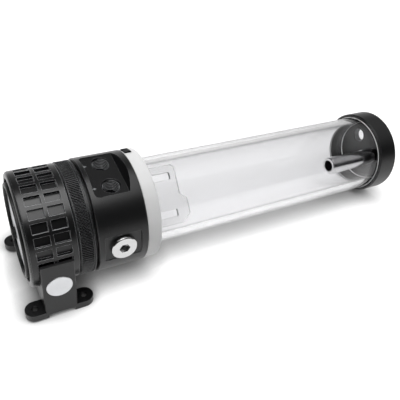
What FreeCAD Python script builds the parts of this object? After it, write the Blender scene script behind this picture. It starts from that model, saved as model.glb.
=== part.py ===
import FreeCAD, Part
import math
import os

from FreeCAD import Vector

# Coolant pump reservoir: a ring-retained pump in a ribbed sleeve, a machined pump top
# and a clear tube with a cap, lying in a cradle bracket.
# Millimetres. +X runs along the pump and tube axis towards the cap, +Z is up.
# The origin is on the surface that the feet stand on, at the centre of the four foot holes.

# Mounting bracket
FOOT_SPACING_X = 31.2
FOOT_HOLE_RADIUS = 1.7
FOOT_HOLE_CHAMFER = 0.4
EAR_RADIUS = 6.15
EAR_THICKNESS = 5.0
PAD_UNDER_CRADLE = 1.8
CRADLE_LENGTH = 20.2
CRADLE_BASE_LIFT = 2.8
CRADLE_WALL = 3.05
ARM_RISE = 1.0
ARM_WALL = 2.15
ARM_EDGE_CHAMFER = 0.5
CRADLE_SCREW_RADIUS = 2.0
CRADLE_SCREW_HEAD_RADIUS = 3.5
CRADLE_SCREW_HEAD_HEIGHT = 2.2
CRADLE_SCREW_HEAD_RECESS = 0.6
CRADLE_SCREW_END_SHORT = 0.8
BADGE_RADIUS = 8.0
BADGE_THICKNESS = 1.0
BADGE_PROUD = 0.3
BADGE_BELOW_AXIS = 17.3
BADGE_EDGE_CHAMFER = 0.25

# Ribbed sleeve
SLEEVE_WALL = 6.45
POCKET_COUNT = 28
POCKET_LENGTH = 9.3
POCKET_WIDTH = 6.0
POCKET_DEPTH = 2.4
CENTRE_RIB = 2.1
SLEEVE_REAR_RIM = 4.9
SLEEVE_FRONT_RIM = 4.0
SLEEVE_REAR_ROUND = 2.2
SLEEVE_FRONT_CHAMFER = 0.5
SLEEVE_MOUTH_STEP = 2.4
SLEEVE_MOUTH_DEPTH = 2.2

# Pump motor
MOTOR_RADIUS = 30.8
MOTOR_PROUD = 1.6
MOTOR_WALL = 1.2
MOTOR_RIM_WIDTH = 2.4
MOTOR_RIM_CHAMFER = 0.5
REAR_PLATE_THICKNESS = 1.2
REAR_PLATE_RECESS = 0.4
BOARD_THICKNESS = 1.6
BOARD_FROM_PLATE = 5.0
BOARD_HOLE_RADIUS = 5.0
GROMMET_RADIUS = 4.0
GROMMET_BORE_RADIUS = 2.4
GROMMET_LIP = 1.0
GROMMET_LIP_THICKNESS = 0.8
GROMMET_LENGTH = 4.0
GROMMET_ORBIT = 19.5
GROMMET_ANGLE = 225.0
STATOR_LENGTH = 14.0
STATOR_YOKE = 4.0
STATOR_TEETH = 6
STATOR_TOOTH_WIDTH = 8.0
STATOR_COIL_BUILD = 2.6
STATOR_COIL_OVERHANG = 1.2
STATOR_FLANGE_GAP = 3.0

# Wet end of the pump
FLANGE_STEP = 2.6
FLANGE_THICKNESS = 3.0
WINDING_SPACE = 12.8
BOWL_WALL = 1.2
BOWL_STRAIGHT = 10.0
BOWL_DEPTH = 16.8
BOWL_TAPER = 9.0
POST_RADIUS = 2.2
BALL_RADIUS = 2.5
BALL_FROM_FLANGE = 3.0
ROTOR_GAP = 0.8
ROTOR_HOLE_RADIUS = 4.5
IMPELLER_OVERHANG = 2.0
IMPELLER_PLATE = 1.5
IMPELLER_LIFT = 0.65
VANE_COUNT = 7
VANE_HEIGHT = 4.5
VANE_THICKNESS = 1.4
VANE_INNER_RADIUS = 7.0
VANE_SWEEP = 58.0
VANE_BOW = 2.2

# Retention ring
RING_WALL = 3.25
RING_LENGTH = 10.1
RING_LIP_THICKNESS = 2.0
KNURL_COUNT = 128
KNURL_DEPTH = 0.75
KNURL_SLANT = 37.0
KNURL_REAR_LAND = 0.9
KNURL_FRONT_LAND = 1.9
LAND_CHAMFER = 0.4
LAND_STEP = 0.1

# Pump top
TOP_STEP = 0.5
TOP_LENGTH = 32.1
TOP_GROOVE = 1.35
TOP_EDGE_CHAMFER = 0.5
NECK_STEP = 0.8
VOLUTE_GAP = 3.0
VOLUTE_FRONT_GAP = 1.4
WEB_THICKNESS = 5.0
INTAKE_RADIUS = 6.0
CHAMBER_SHOULDER = 4.0
SOCKET_DEPTH = 8.2
SOCKET_WALL = 8.05
PORT_RADIUS = 5.9
PORT_CHAMFER = 0.4
PORT_FROM_FRONT = 16.5
PORT_SPACING = 20.5
PORT_DEPTH = 10.5
PORT_PASSAGE_RADIUS = 4.6
OUTLET_DUCT_RADIUS = 3.2
OUTLET_DUCT_DROP = 6.5
OUTLET_DUCT_WALL = 0.8
OUTLET_PASSAGE_RADIUS = 2.9
TOP_FLAT_TILT = 8.0
TOP_FLAT_DEPTH = 5.1
TOP_FLAT_REAR = 3.1
TOP_FLAT_FRONT = 7.3
TOP_FLAT_RAMP = 3.6
TOP_FLAT_CORNER = 3.0
SIDE_FLAT_DEPTH = 1.6
SIDE_FLAT_REAR = 3.8
SIDE_FLAT_FRONT = 4.9
SIDE_FLAT_RAMP = 1.4
SIDE_FLAT_CORNER = 0.8
FLAT_EDGE_WALL = 0.35
PUMP_SEAL_FROM_RIM = 4.0
PUMP_SEAL_WIDTH = 2.4
PUMP_SEAL_DEPTH = 1.75

# Side port plug
PLUG_HEAD_RADIUS = 8.25
PLUG_HEAD_THICKNESS = 3.0
PLUG_HEAD_CHAMFER = 0.4
PLUG_SHANK_LENGTH = 8.0
PLUG_SOCKET_ACROSS_FLATS = 6.2
PLUG_SOCKET_DEPTH = 4.0
PLUG_SEAL_WIDTH = 1.4
PLUG_SEAL_THICKNESS = 1.4

# Diffuser ring and its light strip
DIFFUSER_STEP = 0.2
DIFFUSER_LENGTH = 9.4
DIFFUSER_CHAMFER = 0.5
CHANNEL_INNER_WALL = 1.55
CHANNEL_WIDTH = 3.0
CHANNEL_DEPTH = 6.0
STRIP_THICKNESS = 1.2
STRIP_SHORT = 0.5
CABLE_EXIT_ANGLE = -18.5
CABLE_EXIT_REAR = 0.7
CABLE_EXIT_LENGTH = 4.6
CABLE_EXIT_WIDTH = 8.6
CABLE_EXIT_PROUD = 0.6

# Clear tube
TUBE_WALL = 5.0
TUBE_LENGTH = 222.2
TUBE_SEAL_WIDTH = 1.8
TUBE_SEAL_LENGTH = 2.4
TUBE_SEAL_FROM_END = 2.6

# Clear anti-vortex plate
PLATE_NORMAL_ANGLE = 48.0
PLATE_THICKNESS = 3.0
PLATE_SIDE_GAP = 3.5
PLATE_LENGTH = 47.0
PLATE_TAB_LENGTH = 4.6
PLATE_TAB_TOP = -4.3
PLATE_TAB_BOTTOM = -15.4
PLATE_TAB_SHOULDER = -0.4
PLATE_CORNER = 2.3
PLATE_SLOT_OFFSET = 13.4
PLATE_SLOT_WIDTH = 5.4
PLATE_SLOT_LENGTH = 28.0
PLATE_SLOT_FROM_END = 4.6
PLATE_SLOT_CORNER = 1.2

# End cap
CAP_SKIRT_WALL = 2.6
CAP_SKIRT = 10.0
CAP_WEB = 6.5
CAP_EDGE_CHAMFER = 0.8
FILL_PORT_ANGLE = -43.0
RETURN_PORT_ANGLE = 74.0
CAP_SEAL_FROM_BORE = 1.2
CAP_SEAL_WIDTH = 2.4
CAP_SEAL_DEPTH = 1.6

# Steel return tube and the threaded adapter that carries it
RETURN_TUBE_WALL = 1.05
RETURN_TUBE_BORE = 4.4
RETURN_TUBE_LENGTH = 44.0
RETURN_TUBE_FROM_WALL = 4.7
RETURN_TUBE_CHAMFER = 0.5
ADAPTER_RADIUS = 5.4
ADAPTER_BORE = 3.8
ADAPTER_SHOW = 5.7
ADAPTER_IN_TUBE = 6.0
ADAPTER_IN_CAP = 2.0

# Clearances
FIT_GAP = 0.05
SLIDE_GAP = 0.2
THREAD_GAP = 0.15
RUN_GAP = 0.3
OVERCUT = 1.0

# Stations along X, from the rear of the sleeve to the far face of the cap
SLEEVE_REAR = -(CENTRE_RIB / 2 + POCKET_LENGTH + SLEEVE_REAR_RIM)
SLEEVE_FRONT = CENTRE_RIB / 2 + POCKET_LENGTH + SLEEVE_FRONT_RIM
POCKET_ROW_CENTRE = (CENTRE_RIB + POCKET_LENGTH) / 2
MOTOR_REAR = SLEEVE_REAR - MOTOR_PROUD
RING_REAR = SLEEVE_FRONT + RUN_GAP
RING_FRONT = RING_REAR + RING_LENGTH
FLANGE_REAR = RING_REAR + RING_LIP_THICKNESS + RUN_GAP
FLANGE_FRONT = FLANGE_REAR + FLANGE_THICKNESS
NECK_REAR = FLANGE_FRONT + RUN_GAP
TOP_REAR = RING_FRONT + TOP_GROOVE
TOP_FRONT = TOP_REAR + TOP_LENGTH
IMPELLER_REAR = FLANGE_FRONT + IMPELLER_LIFT
IMPELLER_FRONT = IMPELLER_REAR + IMPELLER_PLATE + VANE_HEIGHT
VOLUTE_FRONT = IMPELLER_FRONT + VOLUTE_FRONT_GAP
CHAMBER_REAR = VOLUTE_FRONT + WEB_THICKNESS
TUBE_REAR = TOP_FRONT - SOCKET_DEPTH
TUBE_FRONT = TUBE_REAR + TUBE_LENGTH
PORT_X = TOP_FRONT - PORT_FROM_FRONT
CAP_REAR = TUBE_FRONT - CAP_SKIRT
CAP_WEB_REAR = TUBE_FRONT + FIT_GAP
CAP_FRONT = CAP_WEB_REAR + CAP_WEB

# Radii that follow from the motor and the fits round it
SLEEVE_BORE = MOTOR_RADIUS + FIT_GAP
SLEEVE_RADIUS = SLEEVE_BORE + SLEEVE_WALL
FLANGE_RADIUS = MOTOR_RADIUS + FLANGE_STEP
NECK_RADIUS = FLANGE_RADIUS + NECK_STEP
RING_BORE = NECK_RADIUS + THREAD_GAP
RING_LIP_BORE = MOTOR_RADIUS + RUN_GAP
RING_RADIUS = RING_BORE + RING_WALL
TOP_RADIUS = RING_RADIUS + TOP_STEP
TOP_FLAT_HEIGHT = TOP_RADIUS - TOP_FLAT_DEPTH
SIDE_FLAT_HEIGHT = TOP_RADIUS - SIDE_FLAT_DEPTH
DIFFUSER_RADIUS = TOP_RADIUS - DIFFUSER_STEP
BOWL_RADIUS = MOTOR_RADIUS - WINDING_SPACE
BOWL_FLOOR_RADIUS = BOWL_RADIUS - BOWL_TAPER
IMPELLER_RADIUS = BOWL_RADIUS + IMPELLER_OVERHANG
VOLUTE_RADIUS = IMPELLER_RADIUS + VOLUTE_GAP
PUMP_SEAL_INNER = FLANGE_RADIUS - PUMP_SEAL_FROM_RIM - PUMP_SEAL_WIDTH
OUTLET_DUCT_HEIGHT = TOP_FLAT_HEIGHT - OUTLET_DUCT_DROP

# Radii that follow from the pump top and the tube in its socket
TUBE_RADIUS = TOP_RADIUS - SOCKET_WALL - FIT_GAP
TUBE_BORE = TUBE_RADIUS - TUBE_WALL
CHAMBER_RADIUS = TUBE_BORE - CHAMBER_SHOULDER
CHANNEL_INNER_RADIUS = TUBE_RADIUS + FIT_GAP + CHANNEL_INNER_WALL
PLATE_HALF_WIDTH = TUBE_BORE - PLATE_SIDE_GAP
CAP_SEAL_INNER = TUBE_BORE + CAP_SEAL_FROM_BORE
CAP_SKIRT_BORE = TUBE_RADIUS + SLIDE_GAP
CAP_RADIUS = CAP_SKIRT_BORE + CAP_SKIRT_WALL
RETURN_TUBE_RADIUS = ADAPTER_RADIUS + FIT_GAP + RETURN_TUBE_WALL
CAP_PORT_ORBIT = TUBE_BORE - RETURN_TUBE_FROM_WALL - RETURN_TUBE_RADIUS
PLUG_SHANK_RADIUS = PORT_RADIUS - THREAD_GAP

# Places in the bracket that follow from the sleeve
CRADLE_RADIUS = SLEEVE_RADIUS + FIT_GAP
AXIS_HEIGHT = CRADLE_BASE_LIFT + CRADLE_WALL + CRADLE_RADIUS
ARM_FACE_Y = CRADLE_RADIUS + ARM_WALL
FOOT_SPACING_Y = 2 * (ARM_FACE_Y - EAR_RADIUS)
PAD_INNER_X = CRADLE_LENGTH / 2 - PAD_UNDER_CRADLE

AXIS_POINT = Vector(0, 0, AXIS_HEIGHT)
X_AXIS = Vector(1, 0, 0)


def radial(angle):
    """Unit vector square to the axis, by degrees from straight up towards -Y."""
    turn = math.radians(angle)
    return Vector(0, -math.sin(turn), math.cos(turn))


def tangent(angle):
    """Unit vector round the axis at that angle, towards larger angles."""
    turn = math.radians(angle)
    return Vector(0, -math.cos(turn), -math.sin(turn))


def at(x, radius=0.0, angle=0.0, along=0.0):
    """Point at station x, a radius out at an angle, and then along the tangent there."""
    return AXIS_POINT + Vector(x, 0, 0) + radial(angle) * radius + tangent(angle) * along


def disc(radius, x_start, x_end):
    """Solid cylinder on the axis between two stations."""
    return Part.makeCylinder(radius, x_end - x_start, at(x_start), X_AXIS)


def tube(outer, inner, x_start, x_end):
    """Hollow cylinder on the axis between two stations."""
    return disc(outer, x_start, x_end).cut(disc(inner, x_start - OVERCUT, x_end + OVERCUT))


def turned(outline):
    """Solid of revolution about the axis from (station, radius) points."""
    points = [at(x, radius) for x, radius in outline]
    wire = Part.makePolygon(points + points[:1])
    return Part.Face(wire).revolve(AXIS_POINT, X_AXIS, 360)


def drilled(radius, start, direction, length):
    """Straight round hole or pin from a point along a direction."""
    return Part.makeCylinder(radius, length, start, direction)


def chamfer_tool(radius, size, mouth, inward):
    """Cone that breaks the edge of a round hole at its mouth."""
    return Part.makeCone(radius + size, radius, size, mouth, inward)


def slab(x_start, x_end, angle, low, high, half_width):
    """Box between two stations and two radii, centred across the tangent at an angle."""
    corners = [at(x, low, angle, side) for x, side in (
        (x_start, -half_width), (x_end, -half_width), (x_end, half_width), (x_start, half_width))]
    face = Part.Face(Part.makePolygon(corners + corners[:1]))
    return face.extrude(radial(angle) * (high - low))


def quarter_round(x, radius, size, steps=4):
    """Points of a quarter round from the end face of a rim, inside its radius, to its outer wall."""
    points = []
    for step in range(steps + 1):
        turn = math.radians(90.0 * step / steps)
        points.append((x + size * (1 - math.sin(turn)), radius - size * (1 - math.cos(turn))))
    return points[::-1]


def round_about(shape, count):
    """Equal copies of a shape turned about the axis."""
    copies = []
    for index in range(count):
        copy = shape.copy()
        copy.rotate(AXIS_POINT, X_AXIS, 360.0 * index / count)
        copies.append(copy)
    return copies


def edges_along(shape, direction):
    """Straight edges of a shape that run along a direction."""
    chosen = []
    for edge in shape.Edges:
        if isinstance(edge.Curve, Part.Line) and edge.Curve.Direction.cross(direction).Length < 1e-6:
            chosen.append(edge)
    return chosen


def screw_positions():
    """Stations of the two cradle screws, one in each row of pockets."""
    return (-POCKET_ROW_CENTRE, POCKET_ROW_CENTRE)


def mounting_bracket():
    """Cradle with two flat-sided arms and four ears on pads."""
    block_top = AXIS_HEIGHT + ARM_RISE
    half_length = CRADLE_LENGTH / 2
    block = Part.makeBox(CRADLE_LENGTH, 2 * ARM_FACE_Y, block_top - CRADLE_BASE_LIFT,
                         Vector(-half_length, -ARM_FACE_Y, CRADLE_BASE_LIFT))
    block = block.makeChamfer(ARM_EDGE_CHAMFER, edges_along(block, Vector(0, 0, 1)))
    ears = []
    for side_x in (-1, 1):
        for side_y in (-1, 1):
            hole = Vector(side_x * FOOT_SPACING_X / 2, side_y * FOOT_SPACING_Y / 2, 0)
            inner = Vector(side_x * PAD_INNER_X, hole.y - EAR_RADIUS, 0)
            if side_x < 0:
                inner.x = hole.x
            web = Part.makeBox(FOOT_SPACING_X / 2 - PAD_INNER_X, 2 * EAR_RADIUS, EAR_THICKNESS, inner)
            ears.append(web.fuse(Part.makeCylinder(EAR_RADIUS, EAR_THICKNESS, hole)))
    shape = block.fuse(ears)
    shape = shape.cut(disc(CRADLE_RADIUS, -half_length - OVERCUT, half_length + OVERCUT))
    for side_x in (-1, 1):
        for side_y in (-1, 1):
            mouth = Vector(side_x * FOOT_SPACING_X / 2, side_y * FOOT_SPACING_Y / 2, EAR_THICKNESS)
            shape = shape.cut(drilled(FOOT_HOLE_RADIUS, mouth, Vector(0, 0, -1), EAR_THICKNESS + OVERCUT))
            shape = shape.cut(chamfer_tool(FOOT_HOLE_RADIUS, FOOT_HOLE_CHAMFER, mouth, Vector(0, 0, -1)))
    for x in screw_positions():
        foot = Vector(x, 0, 0)
        recess_top = CRADLE_BASE_LIFT + CRADLE_SCREW_HEAD_RECESS
        shape = shape.cut(drilled(CRADLE_SCREW_RADIUS + FIT_GAP, foot, Vector(0, 0, 1), AXIS_HEIGHT))
        shape = shape.cut(drilled(CRADLE_SCREW_HEAD_RADIUS + FIT_GAP, foot, Vector(0, 0, 1), recess_top))
    seat = Vector(0, -ARM_FACE_Y - OVERCUT, AXIS_HEIGHT - BADGE_BELOW_AXIS)
    badge_depth = BADGE_THICKNESS - BADGE_PROUD
    shape = shape.cut(drilled(BADGE_RADIUS + FIT_GAP, seat, Vector(0, 1, 0), OVERCUT + badge_depth))
    return shape.removeSplitter()


def cradle_screws():
    """Two pan-head screws from below through the cradle into the sleeve."""
    screws = []
    head_top = CRADLE_BASE_LIFT + CRADLE_SCREW_HEAD_RECESS
    shank_end = AXIS_HEIGHT - SLEEVE_BORE - CRADLE_SCREW_END_SHORT
    for x in screw_positions():
        seat = Vector(x, 0, head_top)
        head = drilled(CRADLE_SCREW_HEAD_RADIUS, seat, Vector(0, 0, -1), CRADLE_SCREW_HEAD_HEIGHT)
        shank = drilled(CRADLE_SCREW_RADIUS, seat, Vector(0, 0, 1), shank_end - head_top)
        screws.append(head.fuse(shank))
    return Part.makeCompound(screws)


def side_badge():
    """Plain round badge let into the outer face of the near arm."""
    start = Vector(0, -ARM_FACE_Y - BADGE_PROUD, AXIS_HEIGHT - BADGE_BELOW_AXIS)
    badge = drilled(BADGE_RADIUS, start, Vector(0, 1, 0), BADGE_THICKNESS)
    rim = [edge for edge in badge.Edges if edge.isClosed() and abs(edge.CenterOfMass.y - start.y) < FIT_GAP]
    return badge.makeChamfer(BADGE_EDGE_CHAMFER, rim)


def pump_sleeve():
    """Sleeve with two rows of flat-floored pockets between smooth rims."""
    mouth = SLEEVE_BORE + SLEEVE_MOUTH_STEP
    shell = turned([(SLEEVE_REAR, mouth)] + quarter_round(SLEEVE_REAR, SLEEVE_RADIUS, SLEEVE_REAR_ROUND) + [
        (SLEEVE_FRONT - SLEEVE_FRONT_CHAMFER, SLEEVE_RADIUS),
        (SLEEVE_FRONT, SLEEVE_RADIUS - SLEEVE_FRONT_CHAMFER), (SLEEVE_FRONT, SLEEVE_BORE),
        (SLEEVE_REAR + SLEEVE_MOUTH_DEPTH, SLEEVE_BORE), (SLEEVE_REAR + SLEEVE_MOUTH_DEPTH, mouth)])
    cutters = []
    for centre in (-POCKET_ROW_CENTRE, POCKET_ROW_CENTRE):
        pocket = slab(centre - POCKET_LENGTH / 2, centre + POCKET_LENGTH / 2, 0,
                      SLEEVE_RADIUS - POCKET_DEPTH, SLEEVE_RADIUS + OVERCUT, POCKET_WIDTH / 2)
        cutters.extend(round_about(pocket, POCKET_COUNT))
    for x in screw_positions():
        cutters.append(drilled(CRADLE_SCREW_RADIUS + FIT_GAP, at(x), radial(180), SLEEVE_RADIUS + OVERCUT))
    return shell.cut(cutters)


def motor_can():
    """Drawn can of the motor, open to the front, with a turned-in rim at the rear."""
    front = FLANGE_REAR - FIT_GAP
    plate_seat = MOTOR_REAR + REAR_PLATE_RECESS + REAR_PLATE_THICKNESS + FIT_GAP
    rim_bore = MOTOR_RADIUS - MOTOR_RIM_WIDTH
    return turned([
        (MOTOR_REAR, rim_bore), (MOTOR_REAR, MOTOR_RADIUS - MOTOR_RIM_CHAMFER),
        (MOTOR_REAR + MOTOR_RIM_CHAMFER, MOTOR_RADIUS), (front, MOTOR_RADIUS),
        (front, MOTOR_RADIUS - MOTOR_WALL), (plate_seat + MOTOR_WALL, MOTOR_RADIUS - MOTOR_WALL),
        (plate_seat + MOTOR_WALL, rim_bore - MOTOR_WALL), (plate_seat, rim_bore - MOTOR_WALL),
        (plate_seat, rim_bore)])


def grommet_centre(x):
    """Point on the cable grommet's axis at a station."""
    return at(x, GROMMET_ORBIT, GROMMET_ANGLE)


def motor_rear_plate():
    """Steel disc that closes the rear of the motor, with the hole for the cable grommet."""
    start = MOTOR_REAR + REAR_PLATE_RECESS
    plate = disc(MOTOR_RADIUS - MOTOR_RIM_WIDTH - FIT_GAP, start, start + REAR_PLATE_THICKNESS)
    hole = drilled(GROMMET_RADIUS + FIT_GAP, grommet_centre(start - OVERCUT), X_AXIS, GROMMET_LENGTH)
    return plate.cut(hole)


def cable_grommet():
    """Rubber bushing for the motor's lead, with a lip on the outside."""
    start = MOTOR_REAR + REAR_PLATE_RECESS - GROMMET_LIP_THICKNESS
    body = drilled(GROMMET_RADIUS, grommet_centre(start), X_AXIS, GROMMET_LENGTH)
    lip = drilled(GROMMET_RADIUS + GROMMET_LIP, grommet_centre(start), X_AXIS,
                  GROMMET_LIP_THICKNESS - FIT_GAP)
    bore = drilled(GROMMET_BORE_RADIUS, grommet_centre(start - OVERCUT), X_AXIS, GROMMET_LENGTH + 2 * OVERCUT)
    return body.fuse(lip).cut(bore)


def control_board():
    """Round driver board behind the stator."""
    start = MOTOR_REAR + REAR_PLATE_RECESS + REAR_PLATE_THICKNESS + BOARD_FROM_PLATE
    return tube(MOTOR_RADIUS - MOTOR_WALL - FIT_GAP, BOARD_HOLE_RADIUS, start, start + BOARD_THICKNESS)


def stator_stations():
    """Rear and front stations of the stator core."""
    front = FLANGE_REAR - STATOR_FLANGE_GAP
    return front - STATOR_LENGTH, front


def stator_core():
    """Ring yoke with inward teeth round the bowl."""
    rear, front = stator_stations()
    outer = MOTOR_RADIUS - MOTOR_WALL - FIT_GAP
    yoke = tube(outer, outer - STATOR_YOKE, rear, front)
    tooth = slab(rear, front, 0, BOWL_RADIUS + BOWL_WALL - OVERCUT, outer - STATOR_YOKE / 2,
                 STATOR_TOOTH_WIDTH / 2)
    core = yoke.fuse(round_about(tooth, STATOR_TEETH))
    bore = disc(BOWL_RADIUS + BOWL_WALL + RUN_GAP, rear - OVERCUT, front + OVERCUT)
    return core.cut(bore).removeSplitter()


def stator_coils():
    """One winding round each tooth, with its outer corners just inside the yoke."""
    rear, front = stator_stations()
    half = STATOR_TOOTH_WIDTH / 2 + FIT_GAP
    reach = MOTOR_RADIUS - MOTOR_WALL - FIT_GAP - STATOR_YOKE - RUN_GAP
    low = BOWL_RADIUS + BOWL_WALL + 2 * RUN_GAP
    high = math.sqrt(reach ** 2 - (half + STATOR_COIL_BUILD) ** 2)
    outer = slab(rear - STATOR_COIL_OVERHANG, front + STATOR_COIL_OVERHANG, 0, low, high,
                 half + STATOR_COIL_BUILD)
    inner = slab(rear - FIT_GAP, front + FIT_GAP, 0, low - OVERCUT, high + OVERCUT, half)
    return Part.makeCompound(round_about(outer.cut(inner), STATOR_TEETH))


def separator_bowl():
    """Pump face: flange, thin bowl round the rotor, and the post with the bearing ball's conical seat."""
    floor = FLANGE_FRONT - BOWL_DEPTH
    knee = FLANGE_FRONT - BOWL_STRAIGHT
    outer = turned([
        (floor - BOWL_WALL, 0), (FLANGE_FRONT, 0), (FLANGE_FRONT, FLANGE_RADIUS),
        (FLANGE_REAR, FLANGE_RADIUS), (FLANGE_REAR, BOWL_RADIUS + BOWL_WALL), (knee, BOWL_RADIUS + BOWL_WALL),
        (floor - BOWL_WALL, BOWL_FLOOR_RADIUS + BOWL_WALL / 2)])
    hollow = turned([
        (floor, 0), (FLANGE_FRONT + OVERCUT, 0), (FLANGE_FRONT + OVERCUT, BOWL_RADIUS), (knee, BOWL_RADIUS),
        (floor, BOWL_FLOOR_RADIUS)])
    seat = (BALL_RADIUS + FIT_GAP) * math.sqrt(0.5)
    post_front = ball_station() - seat
    post = turned([
        (floor, 0), (floor, POST_RADIUS), (post_front, POST_RADIUS), (post_front, seat),
        (post_front - seat, 0)])
    return outer.cut(hollow).fuse(post)


def ball_station():
    """Station of the bearing ball's centre."""
    return FLANGE_FRONT - BALL_FROM_FLANGE


def bearing_ball():
    """Ceramic ball that the rotor turns on."""
    return Part.makeSphere(BALL_RADIUS, at(ball_station()))


def rotor_magnet():
    """Magnet body that fills the bowl with an even gap."""
    floor = FLANGE_FRONT - BOWL_DEPTH
    knee = FLANGE_FRONT - BOWL_STRAIGHT
    return turned([
        (floor + ROTOR_GAP, ROTOR_HOLE_RADIUS), (floor + ROTOR_GAP, BOWL_FLOOR_RADIUS - ROTOR_GAP / 2),
        (knee, BOWL_RADIUS - ROTOR_GAP), (IMPELLER_REAR, BOWL_RADIUS - ROTOR_GAP),
        (IMPELLER_REAR, ROTOR_HOLE_RADIUS)])


def vane():
    """One backward-swept vane between two arcs, from near the eye to the rim."""
    start = IMPELLER_REAR + IMPELLER_PLATE
    root = at(start, VANE_INNER_RADIUS, 0)
    tip = at(start, IMPELLER_RADIUS - VANE_THICKNESS / 2, VANE_SWEEP)
    chord = tip - root
    across = chord.cross(X_AXIS).normalize()
    half = across * (VANE_THICKNESS / 2)
    middle = (root + tip) * 0.5 + across * VANE_BOW
    outer_edge = Part.Arc(root + half, middle + half, tip + half).toShape()
    inner_edge = Part.Arc(tip - half, middle - half, root - half).toShape()
    ends = (Part.makeLine(tip + half, tip - half), Part.makeLine(root - half, root + half))
    face = Part.Face(Part.Wire([outer_edge, ends[0], inner_edge, ends[1]]))
    return face.extrude(X_AXIS * VANE_HEIGHT)


def impeller():
    """Open impeller: back plate, swept vanes, and a hub with a pocket for the ball."""
    plate = disc(IMPELLER_RADIUS, IMPELLER_REAR, IMPELLER_REAR + IMPELLER_PLATE)
    hub_front = IMPELLER_REAR + IMPELLER_PLATE + VANE_HEIGHT / 2
    hub = disc(ROTOR_HOLE_RADIUS - FIT_GAP, ball_station() - BALL_RADIUS / 2, hub_front)
    pocket_front = ball_station() + BALL_RADIUS + FIT_GAP
    pocket = disc(BALL_RADIUS + FIT_GAP, ball_station() - BALL_RADIUS, pocket_front)
    return plate.fuse([hub] + round_about(vane(), VANE_COUNT)).cut(pocket)


def knurled_band(x_start, x_end, core_radius, tip_radius):
    """Band of slanting V ridges: two flat triangles a flank join the end outlines, turned by the slant."""
    twist = math.degrees(math.tan(math.radians(KNURL_SLANT)) * (x_end - x_start) / tip_radius)
    pitch = 360.0 / KNURL_COUNT
    rear, front = [], []
    for index in range(KNURL_COUNT):
        for radius, step in ((core_radius, 0.0), (tip_radius, 0.5)):
            angle = (index + step) * pitch
            rear.append(at(x_start, radius, angle))
            front.append(at(x_end, radius, angle + twist))
    faces = [Part.Face(Part.makePolygon(rear + rear[:1])), Part.Face(Part.makePolygon(front + front[:1]))]
    for index in range(len(rear)):
        after = (index + 1) % len(rear)
        for corners in ((rear[index], rear[after], front[after]), (rear[index], front[after], front[index])):
            faces.append(Part.Face(Part.makePolygon(list(corners) + [corners[0]])))
    shell = Part.makeShell(faces)
    shell.sewShape()
    band = Part.Solid(shell)
    if band.Volume < 0:
        band.reverse()
    return band


def retention_ring():
    """Threaded ring with a slanted knurl between plain lands and a lip behind the pump flange."""
    core = RING_RADIUS - KNURL_DEPTH
    knurl_rear = RING_REAR + KNURL_REAR_LAND
    knurl_front = RING_FRONT - KNURL_FRONT_LAND
    land = core - LAND_STEP
    lip_rear = RING_FRONT - KNURL_FRONT_LAND / 2
    rear_land = turned([
        (RING_REAR, 0), (RING_REAR, land - LAND_CHAMFER), (RING_REAR + LAND_CHAMFER, land),
        (knurl_rear, land), (knurl_rear, 0)])
    front_land = turned([
        (knurl_front, 0), (knurl_front, land), (lip_rear, land), (lip_rear, RING_RADIUS),
        (RING_FRONT - LAND_CHAMFER, RING_RADIUS), (RING_FRONT, RING_RADIUS - LAND_CHAMFER), (RING_FRONT, 0)])
    body = knurled_band(knurl_rear, knurl_front, core, RING_RADIUS).fuse([rear_land, front_land])
    body = body.cut(disc(RING_LIP_BORE, RING_REAR - OVERCUT, RING_FRONT + OVERCUT))
    return body.cut(disc(RING_BORE, RING_REAR + RING_LIP_THICKNESS, RING_FRONT + OVERCUT))


def flat_cutter(angle, height, rear, floor_front, ramp, corner):
    """Tool that mills a flat across the barrel, with a square end at the rear and a ramp at the front."""
    half_width = math.sqrt(TOP_RADIUS ** 2 - (height + FLAT_EDGE_WALL) ** 2)
    top = TOP_RADIUS + OVERCUT
    slope = ramp / (TOP_RADIUS - height)
    ramp_end = floor_front + slope * (top - height)
    outline = [(rear, height), (floor_front, height), (ramp_end, top), (rear, top)]
    points = [at(x, level, angle, -half_width) for x, level in outline]
    tool = Part.Face(Part.makePolygon(points + points[:1])).extrude(tangent(angle) * (2 * half_width))
    return tool.makeFillet(corner, edges_along(tool, radial(angle)))


def threaded_port(angle, height, offset):
    """Round blind hole with a chamfered mouth, square to a flat."""
    mouth = at(PORT_X, height, angle, offset)
    inward = radial(angle) * -1
    hole = drilled(PORT_RADIUS, mouth + radial(angle) * OVERCUT, inward, PORT_DEPTH + OVERCUT)
    return hole.fuse(chamfer_tool(PORT_RADIUS, PORT_CHAMFER, mouth, inward))


def chamber_passage(angle, height, offset):
    """Narrower hole from the middle of a port down into the chamber."""
    high = height - PORT_DEPTH / 2
    start = at(PORT_X, high, angle, offset)
    return drilled(PORT_PASSAGE_RADIUS, start, radial(angle) * -1, high - CHAMBER_RADIUS / 2)


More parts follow.
